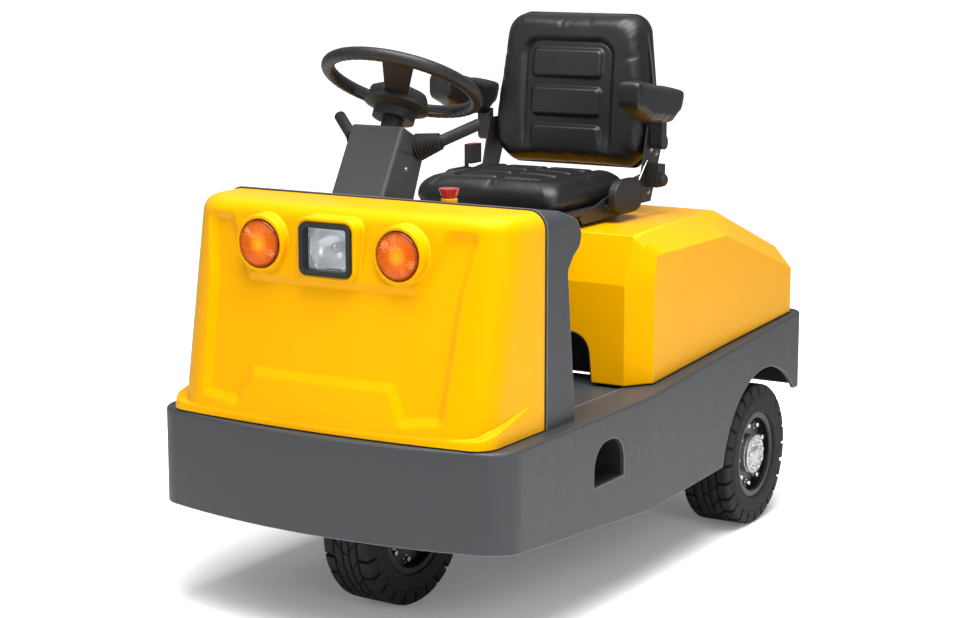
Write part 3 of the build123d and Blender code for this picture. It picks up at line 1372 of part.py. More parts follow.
os.makedirs("parts", exist_ok=True)
solids = {name: make() for name, make in PIECES.items()}
solids.update(wheel_pieces())
for name, solid in solids.items():
    export_step(solid, os.path.join("parts", name + ".step"))
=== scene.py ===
import json
from math import cos, pi, radians, sin

import bmesh
import bpy
from mathutils import Matrix, Vector

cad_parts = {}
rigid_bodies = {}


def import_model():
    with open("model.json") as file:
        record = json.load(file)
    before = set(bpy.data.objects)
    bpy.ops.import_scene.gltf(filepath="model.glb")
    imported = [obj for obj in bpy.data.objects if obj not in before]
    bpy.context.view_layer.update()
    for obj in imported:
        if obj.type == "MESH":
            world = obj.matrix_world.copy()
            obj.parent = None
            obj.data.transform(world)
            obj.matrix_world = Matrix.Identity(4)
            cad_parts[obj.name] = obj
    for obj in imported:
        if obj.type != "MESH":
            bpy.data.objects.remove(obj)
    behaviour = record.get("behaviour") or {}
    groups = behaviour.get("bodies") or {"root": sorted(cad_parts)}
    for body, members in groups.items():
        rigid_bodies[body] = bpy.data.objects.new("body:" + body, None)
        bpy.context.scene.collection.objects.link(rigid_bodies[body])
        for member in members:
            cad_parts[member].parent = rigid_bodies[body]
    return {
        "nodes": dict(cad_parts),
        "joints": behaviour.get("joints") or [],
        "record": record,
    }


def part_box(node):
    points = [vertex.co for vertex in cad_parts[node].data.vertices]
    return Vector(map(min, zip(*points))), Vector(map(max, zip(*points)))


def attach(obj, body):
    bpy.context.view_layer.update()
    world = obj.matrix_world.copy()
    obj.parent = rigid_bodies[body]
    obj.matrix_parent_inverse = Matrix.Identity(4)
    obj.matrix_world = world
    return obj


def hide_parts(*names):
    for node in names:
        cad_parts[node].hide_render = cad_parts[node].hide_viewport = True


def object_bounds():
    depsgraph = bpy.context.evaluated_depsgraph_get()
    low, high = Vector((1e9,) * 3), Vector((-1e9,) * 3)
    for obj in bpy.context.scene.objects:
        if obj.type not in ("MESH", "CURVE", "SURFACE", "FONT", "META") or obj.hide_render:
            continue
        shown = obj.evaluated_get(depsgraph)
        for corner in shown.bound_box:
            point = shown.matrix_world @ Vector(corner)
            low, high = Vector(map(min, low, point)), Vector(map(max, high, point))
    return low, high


# Looks of the electric tow tractor: materials, cowl and hood skins, soft goods, treads, lamps,
# small fasteners, light and camera. Everything is in metres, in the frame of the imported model:
# +Z up, the front looks along -Y, the driver's left is +X.

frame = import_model()
NODES = frame["nodes"]
CAD_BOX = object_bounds()


# ---------------- places read from the frame
def span(node):
    """Low corner, high corner, middle and size of a node."""
    low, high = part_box(node)
    return low, high, (low + high) / 2, high - low


def joint(name):
    """Position and axis of a joint."""
    found = next(j for j in frame["joints"] if j["name"] == name)
    return Vector(found["pos_m"]), Vector(found["axis"])


def linked(name, data):
    """New object with this data, in the scene."""
    piece = bpy.data.objects.new(name, data)
    bpy.context.scene.collection.objects.link(piece)
    return piece


# ---------------- materials
# a colour mix's sockets, which share their names with the ones for numbers and vectors
MIX_A, MIX_B, MIX_OUT = 6, 7, 2


class Nodes:
    """A small helper that wires one procedural material."""

    def __init__(self, name):
        self.material = bpy.data.materials.new(name)
        self.material.use_nodes = True
        self.tree = self.material.node_tree
        self.shader = self.tree.nodes["Principled BSDF"]
        self.place = self.add("ShaderNodeTexCoord").outputs["Object"]

    def add(self, kind, **settings):
        """A new node with its properties and input values set by name."""
        node = self.tree.nodes.new(kind)
        for key, value in settings.items():
            if hasattr(node, key):
                setattr(node, key, value)
            else:
                node.inputs[key.replace("_", " ").title()].default_value = value
        return node

    def link(self, source, target):
        self.tree.links.new(source, target)

    def noise(self, scale, detail=2.0, place=None):
        node = self.add("ShaderNodeTexNoise", scale=scale, detail=detail)
        self.link(place or self.place, node.inputs["Vector"])
        return node.outputs["Fac"]

    def cells(self, scale, feature="DISTANCE_TO_EDGE"):
        node = self.add("ShaderNodeTexVoronoi", feature=feature, scale=scale)
        self.link(self.place, node.inputs["Vector"])
        return node.outputs["Distance"]

    def ramp(self, source, low, high, first, last):
        """Colours from first to last as source goes from low to high."""
        node = self.add("ShaderNodeValToRGB")
        node.color_ramp.elements[0].position = low
        node.color_ramp.elements[0].color = (*first, 1)
        node.color_ramp.elements[1].position = high
        node.color_ramp.elements[1].color = (*last, 1)
        self.link(source, node.inputs["Fac"])
        return node.outputs["Color"]

    def span(self, source, low, high):
        """Source, from 0 to 1, spread between two values."""
        node = self.add("ShaderNodeMapRange", To_Min=low, To_Max=high)
        self.link(source, node.inputs["Value"])
        return node.outputs["Result"]

    def mix(self, factor, a, b):
        """Colour a to colour b by factor."""
        node = self.add("ShaderNodeMix", data_type="RGBA")
        self.link(factor, node.inputs["Factor"])
        for value, socket in ((a, node.inputs[MIX_A]), (b, node.inputs[MIX_B])):
            if isinstance(value, bpy.types.NodeSocket):
                self.link(value, socket)
            else:
                socket.default_value = (*value, 1)
        return node.outputs[MIX_OUT]

    def edges(self, radius):
        """Rounded normal along the edges, and a mask that is 1 on them."""
        bevel = self.add("ShaderNodeBevel", samples=6, Radius=radius)
        true = self.add("ShaderNodeNewGeometry").outputs["Normal"]
        dot = self.add("ShaderNodeVectorMath", operation="DOT_PRODUCT")
        self.link(bevel.outputs["Normal"], dot.inputs[0])
        self.link(true, dot.inputs[1])
        mask = self.add("ShaderNodeMapRange", From_Min=1.0, From_Max=0.85)
        self.link(dot.outputs["Value"], mask.inputs["Value"])
        return bevel.outputs["Normal"], mask.outputs["Result"]

    def bump(self, heights, normal=None):
        """Bump from (height, distance in metres) pairs, over an optional normal."""
        for height, distance in heights:
            node = self.add("ShaderNodeBump", Distance=distance)
            self.link(height, node.inputs["Height"])
            if normal is not None:
                self.link(normal, node.inputs["Normal"])
            normal = node.outputs["Normal"]
        self.link(normal, self.shader.inputs["Normal"])

    def colour(self, source):
        self.link(source, self.shader.inputs["Base Color"])

    def rough(self, scale, detail, low, high):
        """Roughness that wanders between two values."""
        self.link(self.span(self.noise(scale, detail), low, high), self.shader.inputs["Roughness"])

    def set(self, **values):
        for key, value in values.items():
            self.shader.inputs[key.replace("_", " ")].default_value = value


def paint(name, colour, highlight_colour, roughness, coat, bevel, peel, tint=(1, 1, 1)):
    """Sprayed paint: slight colour drift, orange peel and a painted highlight along the edges."""
    m = Nodes(name)
    drift = m.noise(2.5, 3)
    dark = tuple(c * 0.94 for c in colour)
    base = m.mix(m.span(drift, 0, 1), dark, colour)
    normal, mask = m.edges(bevel)
    # the edge mask lightens the colour towards the edge colour: a painted highlight along the edges
    m.colour(m.mix(m.span(mask, 0, 0.6), base, highlight_colour))
    m.rough(40, 4, roughness * 0.85, roughness * 1.15)
    m.bump([(m.noise(380, 2), peel)], normal)
    m.set(Coat_Weight=coat, Coat_Roughness=0.12, Specular_IOR_Level=0.4, Specular_Tint=(*tint, 1))
    return m.material


def moulded(name, colour, roughness, grain, depth):
    """Moulded plastic or rubber with a fine grain."""
    m = Nodes(name)
    light = tuple(c * 1.5 + 0.004 for c in colour)
    # the edges are lightened towards this colour: a painted highlight along them
    painted_highlight = tuple(c * 2.5 + 0.01 for c in colour)
    normal, mask = m.edges(0.0015)
    base = m.mix(m.noise(60, 4), colour, light)
    m.colour(m.mix(m.span(mask, 0, 0.5), base, painted_highlight))
    m.rough(90, 3, roughness - 0.07, roughness + 0.07)
    m.bump([(m.cells(grain), depth)], normal)
    m.set(Specular_IOR_Level=0.3)
    return m.material


def leatherette(name):
    """Black seat covering: pebbled grain, soft wrinkles and a slight sheen."""
    m = Nodes(name)
    m.colour(m.mix(m.noise(9, 4), (0.006, 0.006, 0.0065), (0.012, 0.012, 0.013)))
    m.rough(30, 4, 0.28, 0.42)
    m.bump([(m.noise(14, 3), 0.0016), (m.cells(750), 0.00035)])
    m.set(Specular_IOR_Level=0.42)
    return m.material


def metal(name, colour, roughness, metallic):
    """Bare or silver-painted metal with fine scratches."""
    m = Nodes(name)
    # the edges are lightened towards this colour: a painted highlight along them
    painted_highlight = tuple(min(1, c * 1.4) for c in colour)
    normal, mask = m.edges(0.0012)
    base = m.mix(m.noise(120, 5), tuple(c * 0.8 for c in colour), colour)
    m.colour(m.mix(m.span(mask, 0, 0.5), base, painted_highlight))
    m.rough(200, 4, roughness - 0.06, roughness + 0.1)
    m.bump([(m.noise(500, 2), 0.0002)], normal)
    m.set(Metallic=metallic)
    return m.material


def tyre_rubber(name):
    """Black tyre rubber with uneven, dusty patches."""
    m = Nodes(name)
    m.colour(m.mix(m.noise(25, 5), (0.006, 0.006, 0.0065), (0.016, 0.0155, 0.015)))
    m.rough(60, 4, 0.55, 0.8)
    normal, _ = m.edges(0.002)
    m.bump([(m.noise(260, 4), 0.0006)], normal)
    m.set(Specular_IOR_Level=0.3)
    return m.material


def lens(name, colour, deep, transmission, roughness):
    """Coloured or clear lamp lens."""
    m = Nodes(name)
    m.colour(m.mix(m.noise(30, 2), deep, colour))
    m.rough(80, 2, roughness, roughness + 0.05)
    m.bump([(m.noise(150, 1), 0.0003)])
    m.set(Transmission_Weight=transmission, IOR=1.49, Coat_Weight=1.0, Coat_Roughness=0.03)
    return m.material


def reflector(name):
    """Silver reflector behind the headlamp glass, with painted reflection bands in its colour and a
    faint glow as painted reflected light.
    """
    m = Nodes(name)
    # the soft light and dark bands are a painted reflection
    reflection_bands = m.span(m.noise(55, 2), 0.3, 0.8)
    m.colour(m.mix(reflection_bands, (0.62, 0.63, 0.65), (0.95, 0.96, 0.98)))
    m.rough(90, 3, 0.12, 0.30)
    m.bump([(m.noise(70, 2), 0.0012)])
    # the faint white glow is painted reflected light
    m.set(Metallic=0.7, Emission_Color=(0.9, 0.94, 1, 1), Emission_Strength=0.22)
    return m.material


AMBER_RADIUS = 0.0607


def ribbed_lens(name):
    """Amber lamp glass: a painted highlight in the middle, deep orange outside and dark red at the
    rim, with the same colours as a faint glow.
    """
    m = Nodes(name)
    away = m.add("ShaderNodeVectorMath", operation="LENGTH")
    flat = m.add("ShaderNodeVectorMath", operation="MULTIPLY")
    flat.inputs[1].default_value = (1, 1, 0)
    m.link(m.place, flat.inputs[0])
    m.link(flat.outputs["Vector"], away.inputs[0])
    ramp = m.add("ShaderNodeValToRGB")
    # The bright middle stops are a painted highlight.
    # columns: distance from the middle as a share, colour
    stops = [
        (0.0, (0.95, 0.36, 0.005)),
        (0.30, (0.85, 0.22, 0.002)),
        (0.56, (0.68, 0.12, 0.001)),
        (0.84, (0.60, 0.095, 0.001)),
        (0.95, (0.16, 0.010, 0.001)),
    ]
    for place, colour in stops[1:-1]:
        ramp.color_ramp.elements.new(place)
    for element, (place, colour) in zip(ramp.color_ramp.elements, stops):
        element.position = place
        element.color = (*colour, 1)
    share = m.add("ShaderNodeMapRange", From_Max=AMBER_RADIUS)
    m.link(away.outputs["Value"], share.inputs["Value"])
    m.link(share.outputs["Result"], ramp.inputs["Fac"])
    m.colour(ramp.outputs["Color"])
    m.rough(80, 2, 0.10, 0.18)
    # the ramp's colours, painted highlight included, also glow faintly
    m.link(ramp.outputs["Color"], m.shader.inputs["Emission Color"])
    m.bump([(m.noise(300, 1), 0.0002)])
    m.set(Coat_Weight=0.3, Coat_Roughness=0.04, Emission_Strength=0.08)
    m.set(Specular_Tint=(1, 0.6, 0.2, 1))
    return m.material


# The edge colours here are painted highlights laid along each paint's edges.
YELLOW = (0.82, 0.375, 0.0)
YELLOW_EDGE_HIGHLIGHT = (0.95, 0.62, 0.02)
YELLOW_SHINE = (1, 0.72, 0.03)
GREY = (0.040, 0.0435, 0.048)
GREY_EDGE_HIGHLIGHT = (0.42, 0.43, 0.45)
FRAME = (0.018, 0.018, 0.019)
FRAME_EDGE_HIGHLIGHT = (0.08, 0.08, 0.085)
RIM = (0.007, 0.007, 0.0075)
RIM_EDGE_HIGHLIGHT = (0.05, 0.05, 0.054)

# columns: maker, name, what the maker is given
MATERIALS = {
    name: make(name, *values)
    for make, name, *values in (
        (paint, "yellow_paint", YELLOW, YELLOW_EDGE_HIGHLIGHT, 0.34, 0.0, 0.006, 0.0004, YELLOW_SHINE),
        (paint, "grey_paint", GREY, GREY_EDGE_HIGHLIGHT, 0.46, 0.0, 0.004, 0.0005),
        (paint, "frame_paint", FRAME, FRAME_EDGE_HIGHLIGHT, 0.42, 0.1, 0.002, 0.0005),
        (paint, "rim_paint", RIM, RIM_EDGE_HIGHLIGHT, 0.30, 0.0, 0.002, 0.0003),
        (moulded, "black_plastic", (0.012, 0.012, 0.013), 0.45, 900, 0.0003),
        (moulded, "rubber", (0.010, 0.010, 0.010), 0.62, 500, 0.0003),
        (moulded, "battery_case", (0.02, 0.02, 0.022), 0.5, 300, 0.0004),
        (tyre_rubber, "tyre"),
        (leatherette, "leatherette"),
        (metal, "hub_steel", (0.46, 0.46, 0.48), 0.36, 0.85),
        (metal, "motor_iron", (0.05, 0.05, 0.055), 0.55, 0.6),
        (lens, "amber_lens", (1.0, 0.30, 0.01), (0.75, 0.13, 0.0), 0.2, 0.12),
        (lens, "clear_lens", (0.95, 0.96, 0.97), (0.8, 0.82, 0.84), 0.9, 0.03),
        (metal, "chrome", (0.62, 0.62, 0.64), 0.16, 1.0),
        (reflector, "mirror"),
        (metal, "hub_cast", (0.56, 0.56, 0.57), 0.30, 0.85),
        (moulded, "piping", (0.030, 0.030, 0.032), 0.30, 900, 0.0002),
        (moulded, "grip_rubber", (0.011, 0.011, 0.012), 0.38, 900, 0.0002),
        (ribbed_lens, "amber_ribbed"),
        (lens, "red_plastic", (0.78, 0.02, 0.01), (0.5, 0.01, 0.005), 0.0, 0.2),
    )
}


def dress_nodes():
    """Gives every CAD node the material of its slot."""
    for part in frame["record"]["subparts"]:
        slots = NODES[part["node"]].data.materials
        slots.clear()
        slots.append(MATERIALS[part["material_slot"]])


# ---------------- mesh helpers
def mesh_piece(name, parts, material, body, place=Matrix(), crease=35):
    """Piece of a body from (matrix, (vertices, faces)) parts, smooth up to crease degrees."""
    vertices, faces = [], []
    for matrix, (points, quads) in parts:
        start = len(vertices)
        vertices += [place @ matrix @ Vector(v) for v in points]
        faces += [tuple(start + i for i in f) for f in quads]
    mesh = bpy.data.meshes.new(name)
    mesh.from_pydata(vertices, [], faces)
    bm = bmesh.new()
    bm.from_mesh(mesh)
    bmesh.ops.recalc_face_normals(bm, faces=bm.faces)
    bm.to_mesh(mesh)
    bm.free()
    mesh.shade_smooth()
    mesh.set_sharp_from_angle(angle=radians(crease))
    mesh.materials.append(material)
    piece = linked(name, mesh)
    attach(piece, body)
    return piece


def row_faces(rows, count, closed=True):
    """Faces between rows of count points each; closed joins the last row to the first."""
    faces = []
    for i in range(rows if closed else rows - 1):
        a, b = i * count, (i + 1) % rows * count
        faces += [(a + k, b + k, b + k + 1, a + k + 1) for k in range(count - 1)]
    return faces


def lathe(profile, steps, wave=None):
    """(radius, height) points turned about Z; wave scales the radius by angle and point."""
    points = []
    for i in range(steps):
        angle = 2 * pi * i / steps
        for k, (r, z) in enumerate(profile):
            radius = r * wave(angle, k) if wave else r
            points.append((radius * cos(angle), radius * sin(angle), z))
    return points, row_faces(steps, len(profile))


def tube(path, radius, sides):
    """Round bar through a list of points, with closed ends."""
    points, faces = [], []
    for k, here in enumerate(path):
        before, after = path[max(k - 1, 0)], path[min(k + 1, len(path) - 1)]
        turn = (after - before).to_track_quat("Z", "Y")
        for i in range(sides):
            angle = 2 * pi * i / sides
            points.append(here + turn @ Vector((radius * cos(angle), radius * sin(angle), 0)))
    for k in range(len(path) - 1):
        for i in range(sides):
            a, b, j = k * sides, (k + 1) * sides, (i + 1) % sides
            faces.append((a + i, a + j, b + j, b + i))
    last = (len(path) - 1) * sides
    faces.append(tuple(range(sides)))
    faces.append(tuple(last + i for i in reversed(range(sides))))
    return points, faces


AHEAD = Matrix.Rotation(radians(90), 4, "X")  # turns Z to the front


def aimed(point, direction):
    """Matrix at a point with its Z axis along a direction."""
    turn = Vector(direction).to_track_quat("Z", "Y").to_matrix().to_4x4()
    return Matrix.Translation(point) @ turn


def bolts(name, places, radius, height, material, body, sides=6):
    """Bolt heads with a washer at (point, direction) places."""
    head = [(0, height), (radius * 0.8, height), (radius, height * 0.8), (radius, height * 0.2)]
    washer = [(radius * 1.35, height * 0.2), (radius * 1.35, -0.001)]
    parts = []
    for point, direction in places:
        parts.append((aimed(point, direction), lathe(head, sides)))
        parts.append((aimed(point, direction), lathe([head[-1]] + washer, 20)))
    return mesh_piece(name, parts, material, body, crease=25)


def smooth_step(value, low, high):
    """0 at low, 1 at high, with a soft start and end."""
    share = min(max((value - low) / (high - low), 0.0), 1.0)
    return share * share * (3 - 2 * share)


def rounded_box(x, y, half_x, half_y, corner):
    """Signed distance from a point to a rounded rectangle about the origin."""
    dx, dy = abs(x) - half_x + corner, abs(y) - half_y + corner
    outside = Vector((max(dx, 0), max(dy, 0))).length
    return outside + min(max(dx, dy), 0) - corner


# ---------------- cowl
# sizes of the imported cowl, in metres
COWL_HALF = 0.480
COWL_LEAN = 0.2071
COWL_BOW = 0.034
COWL_CORNER = 0.112
COWL_TAPER = 0.115
COWL_STRAIGHT = 0.040
COWL_TOP_R = 0.046
BAND_CORNER = 0.062
BAND_LOW = 0.014
BAND_RISE = 0.076
BAND_SIDE_LEAN = 0.02
BAND_SINK = 0.0005
BAND_SHELF = 0.060  # how far the band's top runs in under the body
LAMP_X = 0.205
LAMP_Z = 0.965
LAMP_PROUD = 0.027
LAMP_RING_R = 0.0613
HEADLAMP_BLOCK = (0.076, 0.065, 0.020)  # half width, half height, corner
PANEL_DEPTH = 0.013
PANEL_RAMP = 0.020  # width of the slope outside the panel's floor
PANEL_BEND = 0.12  # share of the slope over which its two ends are rounded
# half of the sunken panel's floor, across and up
PANEL = [
    (0.256, 0.868),
    (0.331, 1.008),
    (0.384, 1.008),
    (0.356, 0.870),
    (0.340, 0.590),
    (0.252, 0.580),
    (0.212, 0.659),
]
# the body is left open inside these, where the lamps sit
LAMP_OPENING_R = 0.064
HEADLAMP_OPENING = (0.078, 0.067, 0.020)


class Cowl:
    """Outer form of the front cowl, read from its node's corners."""

    def __init__(self):
        low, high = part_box("front_cowl")
        self.foot_y, self.foot_z = low.y, low.z
        self.back_y, self.top_z = high.y, high.z

    def front(self, x, z):
        """Depth of the leaning, bowed face at a point across and up."""
        return self.foot_y + COWL_LEAN * (z - self.foot_z) + COWL_BOW * (x / COWL_HALF) ** 2

    def half_plan(self, z, corner, taper):
        """Right half of the plan at a height, from the back to the middle, with outward normals."""
        knee = self.back_y - COWL_STRAIGHT
        half = COWL_HALF - taper * (knee - self.front(COWL_HALF, z))
        side = Vector((half - COWL_HALF, self.front(half, z) - knee)).normalized()
        normal = Vector((-side.y, side.x))
        start = Vector((COWL_HALF, knee))

        def centre(run):
            return start + side * run - normal * corner

        def gap(run):
            c = centre(run)
            slope = 2 * COWL_BOW * c.x / COWL_HALF**2
            return (c.y - self.front(c.x, z)) / (1 + slope * slope) ** 0.5 - corner

        short, long = 0.0, (Vector((half, self.front(half, z))) - start).length
        for _ in range(30):
            run = (short + long) / 2
            short, long = (run, long) if gap(run) > 0 else (short, run)
        c = centre(short)
        path = []
        for i in range(6):
            y = self.back_y + (knee - self.back_y) * i / 6
            path.append((Vector((COWL_HALF, y)), Vector((1, 0))))
        for i in range(30):
            path.append((start + side * short * i / 30, normal))
        slope = 2 * COWL_BOW * c.x / COWL_HALF**2
        last = Vector((slope, -1)).normalized()
        turn = normal.angle_signed(last)
        for i in range(40):
            ca, sa = cos(turn * i / 40), sin(turn * i / 40)
            n = Vector((normal.x * ca + normal.y * sa, normal.y * ca - normal.x * sa))
            path.append((c + n * corner, n))
        end = c.x + last.x * corner
        for i in range(101):
            x = end * (1 - i / 100)
            tilt = Vector((2 * COWL_BOW * x / COWL_HALF**2, -1)).normalized()
            path.append((Vector((x, self.front(x, z))), tilt))
        return path

    def plan(self, z, corner, taper):
        """Whole plan at a height, from the right back to the left back."""
        right = self.half_plan(z, corner, taper)
        left = [(Vector((-p.x, p.y)), Vector((-n.x, n.y))) for p, n in reversed(right[:-1])]
        return right + left


def held(value):
    """Value, held at 0 from below, with the corner rounded over PANEL_BEND to each side."""
    if value > PANEL_BEND:
        return value
    return (value + PANEL_BEND) ** 2 / (4 * PANEL_BEND) if value > -PANEL_BEND else 0.0


def panel_depth(x, z):
    """How deep the sunken panel lies at a point of the cowl's face."""
    corners = PANEL + [(-px, pz) for px, pz in reversed(PANEL)]
    nearest, inside = 1.0, False
    for (ax, az), (bx, bz) in zip(corners, corners[1:] + corners[:1]):
        ex, ez = bx - ax, bz - az
        share = min(max(((x - ax) * ex + (z - az) * ez) / (ex * ex + ez * ez), 0), 1)
        nearest = min(nearest, ((x - ax - ex * share) ** 2 + (z - az - ez * share) ** 2) ** 0.5)
        if (az > z) != (bz > z) and x < ax + ex * (z - az) / ez:
            inside = not inside
    away = -nearest if inside else nearest
    share = away / PANEL_RAMP
    return PANEL_DEPTH * (1 - held(share) if share < 0.5 else held(1 - share))


def cowl_body(cowl):
    """Leaning body with rolled top edges and the sunken panel, open where the lamps sit."""
    centre_z = cowl.top_z - COWL_TOP_R
    levels = [cowl.foot_z + (centre_z - cowl.foot_z) * i / 170 for i in range(171)]
    levels += [centre_z + COWL_TOP_R * sin(radians(7.5 * i)) for i in range(1, 13)]
    points, faces = [], []
    for z in levels:
        up = z - centre_z
        for p, n in cowl.plan(z, COWL_CORNER, COWL_TAPER):
            lean = COWL_LEAN * max(0.0, -n.y)
            slant = (1 + lean * lean) ** 0.5
            roll = 0.0
            if up > COWL_TOP_R * lean / slant:
                roll = COWL_TOP_R * slant - lean * up - max(COWL_TOP_R**2 - up * up, 0) ** 0.5
            at = p - n * roll
            sunk = panel_depth(at.x, z) if n.y < -0.3 else 0.0
            points.append((at.x, at.y + sunk, z))
    count = len(points) // len(levels)
    for i in range(len(levels) - 1):
        for k in range(count - 1):
            a = i * count + k
            x, y, z = points[a]
            aside = min(abs(x - LAMP_X), abs(x + LAMP_X))
            round_lamp = aside**2 + (z - LAMP_Z) ** 2 < LAMP_OPENING_R**2
            square_lamp = rounded_box(x, z - LAMP_Z, *HEADLAMP_OPENING) < 0
            if y > cowl.front(x, z) + 0.05 or not (round_lamp or square_lamp):
                faces.append((a, a + 1, a + count + 1, a + count))
    top = (len(levels) - 1) * count
    faces.append(tuple(top + k for k in range(count)))
    return points, faces


def cowl_band(cowl):
    """Foot band with tight corners; its sloped top shows as a crescent at each corner."""
    points = []
    plan = cowl.plan(cowl.foot_z, BAND_CORNER, 0)
    depth = cowl.back_y - cowl.foot_y
    for p, n in plan:
        rise = BAND_LOW + BAND_RISE * (p.y - cowl.foot_y) / depth
        facing = max(0.0, -n.y)
        lean = COWL_LEAN * facing + (1 - facing) * BAND_SIDE_LEAN
        edge = [(0, 0), (rise * 0.5, 0), (rise - 0.004, 0), (rise - 0.001, 0.001), (rise, 0.004)]
        for z, inset in edge:
            at = p - n * (inset + BAND_SINK + lean * z)
            points.append((at.x, at.y, cowl.foot_z + z))
        at = p - n * BAND_SHELF
        points.append((at.x, at.y, cowl.foot_z + rise + BAND_RISE * 0.03))
    return points, row_faces(len(plan), len(points) // len(plan), closed=False)


def squared_ring(profile, half_x, half_y, corner):
    """Ring round a rounded rectangle; profile holds (outset, height) points."""
    points = []
    steps = 12
    for quarter in range(4):
        for i in range(steps + 1):
            angle = pi / 2 * (quarter + i / steps)
            sx, sy = (1, -1, -1, 1)[quarter], (1, 1, -1, -1)[quarter]
            for out, z in profile:
                r = corner + out
                x = sx * (half_x - corner) + r * cos(angle)
                y = sy * (half_y - corner) + r * sin(angle)
                points.append((x, y, z))
    return points, row_faces(4 * (steps + 1), len(profile))


# section of a lamp's collar: out from its opening, height over its front
COLLAR = [(0.0, -0.07), (0.0, -0.005), (0.0006, -0.0022), (0.0024, -0.0005), (0.005, 0)]
COLLAR += [(0.0083, -0.0007), (0.0108, -0.003), (0.0118, -0.007), (0.0118, -0.07)]


def front_cowl():
    """Moulded cowl with its panel, foot band and lamp housings."""
    cowl = Cowl()
    parts = [(Matrix(), cowl_body(cowl)), (Matrix(), cowl_band(cowl))]
    ring = lathe([(LAMP_RING_R + o, h) for o, h in COLLAR], 96)
    block = squared_ring([(o * 1.1 + 0.0003, h) for o, h in COLLAR], *HEADLAMP_BLOCK)
    for x, collar in ((-LAMP_X, ring), (LAMP_X, ring), (0, block)):
        at = (x, cowl.front(x, LAMP_Z) - LAMP_PROUD, LAMP_Z)
        parts.append((Matrix.Translation(at) @ AHEAD, collar))
    piece = mesh_piece("cowl_shell", parts, MATERIALS["yellow_paint"], "chassis", crease=50)
    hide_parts("front_cowl")


# ---------------- hood
HOOD_EDGE = 0.013  # rounding of its edges
HOOD_FOOT = 0.02  # edges lower than this over its foot stay sharp
HOOD_SHORT = 0.03  # and so do edges shorter than this


def hood():
    """Battery hood with softly rounded edges between its faces."""
    piece = linked("hood_shell", NODES["battery_hood"].data.copy())
    bm = bmesh.new()
    bm.from_mesh(piece.data)
    bmesh.ops.remove_doubles(bm, verts=bm.verts, dist=0.00005)
    bmesh.ops.dissolve_limit(bm, angle_limit=radians(1), verts=bm.verts, edges=bm.edges)
    low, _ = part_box("battery_hood")
    chosen = []
    for edge in bm.edges:
        if len(edge.link_faces) != 2 or edge.calc_length() < HOOD_SHORT or not edge.is_convex:
            continue
        foot = min(v.co.z for v in edge.verts)
        if edge.calc_face_angle() > radians(8) and foot > low.z + HOOD_FOOT:
            chosen.append(edge)
    rounding = {"segments": 4, "profile": 0.5, "affect": "EDGES", "clamp_overlap": True}
    bmesh.ops.bevel(bm, geom=chosen, offset=HOOD_EDGE, **rounding)
    bm.to_mesh(piece.data)
    bm.free()
    piece.data.shade_smooth()
    piece.data.set_sharp_from_angle(angle=radians(30))
    piece.data.materials.clear()
    piece.data.materials.append(MATERIALS["yellow_paint"])
    weigh = piece.modifiers.new("normals", "WEIGHTED_NORMAL")
    weigh.keep_sharp = True
    weigh.weight = 80
    applied(piece)
    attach(piece, "battery_hood")
    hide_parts("battery_hood")


# ---------------- soft goods
def applied(piece):
    """Replaces a piece's mesh by what its modifiers make of it."""
    graph = bpy.context.evaluated_depsgraph_get()
    mesh = bpy.data.meshes.new_from_object(piece.evaluated_get(graph))
    piece.modifiers.clear()
    piece.data = mesh


CLOTH_PRESSURE = 4.0
CLOTH_FRAMES = 20


def puff(piece, cap):
    """Blows the closed piece up as cloth, with no point moving more than cap."""
    before = [v.co.copy() for v in piece.data.vertices]
    cloth = piece.modifiers.new("cloth", "CLOTH")
    cloth.settings.use_pressure = True
    cloth.settings.uniform_pressure_force = CLOTH_PRESSURE
    cloth.settings.effector_weights.gravity = 0
    cloth.settings.quality = 4
    cloth.point_cache.frame_start = 1
    cloth.point_cache.frame_end = CLOTH_FRAMES
    for step in range(1, CLOTH_FRAMES + 1):
        bpy.context.scene.frame_set(step)
    applied(piece)
    for vertex, start in zip(piece.data.vertices, before):
        move = vertex.co - start
        if move.length > cap:
            vertex.co = start + move * (cap / move.length)
    bpy.context.scene.frame_set(1)


def soft_piece(name, node, body, voxel, soften, shape, cap, detail):
    """Padded piece grown from a node: remeshed, shaped, puffed, subdivided, then sewn."""
    piece = linked(name, NODES[node].data.copy())
    remesh = piece.modifiers.new("remesh", "REMESH")
    remesh.mode = "VOXEL"
    remesh.voxel_size = voxel
    ease = piece.modifiers.new("ease", "SMOOTH")
    ease.factor = 0.5
    ease.iterations = soften
    applied(piece)
    for vertex in piece.data.vertices:
        vertex.co = shape(vertex.co)
    puff(piece, cap)
    piece.modifiers.new("fine", "SUBSURF").levels = 1
    applied(piece)
    normals = [v.normal.copy() for v in piece.data.vertices]
    for vertex, normal in zip(piece.data.vertices, normals):
        vertex.co = detail(vertex.co.copy(), normal)
    piece.data.shade_smooth()
    piece.data.materials.clear()
    piece.data.materials.append(MATERIALS["leatherette"])
    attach(piece, body)
    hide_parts(node)


SOFT_ROUND = 0.034


def rolled(share):
    """How far a cushion's rolled edge has drawn in at a share of its thickness."""
    return SOFT_ROUND * (1 - (1 - share * share) ** 0.5)


def panel_away(x, y, panel):
    """Signed distance from a point to the edge of a sewn panel."""
    px, py, half_x, half_y, corner = panel
    return rounded_box(x - px, y - py, half_x, half_y, corner)


def pad_lift(x, y, pads, half_x, half_y, corner, edge):
    """1 on any of the pads and 0 outside them, with soft edges."""
    lift = 0.0
    for px, py in pads:
        away = panel_away(x, y, (px, py, half_x, half_y, corner))
        lift = max(lift, 1 - smooth_step(away, -edge, 0))
    return lift


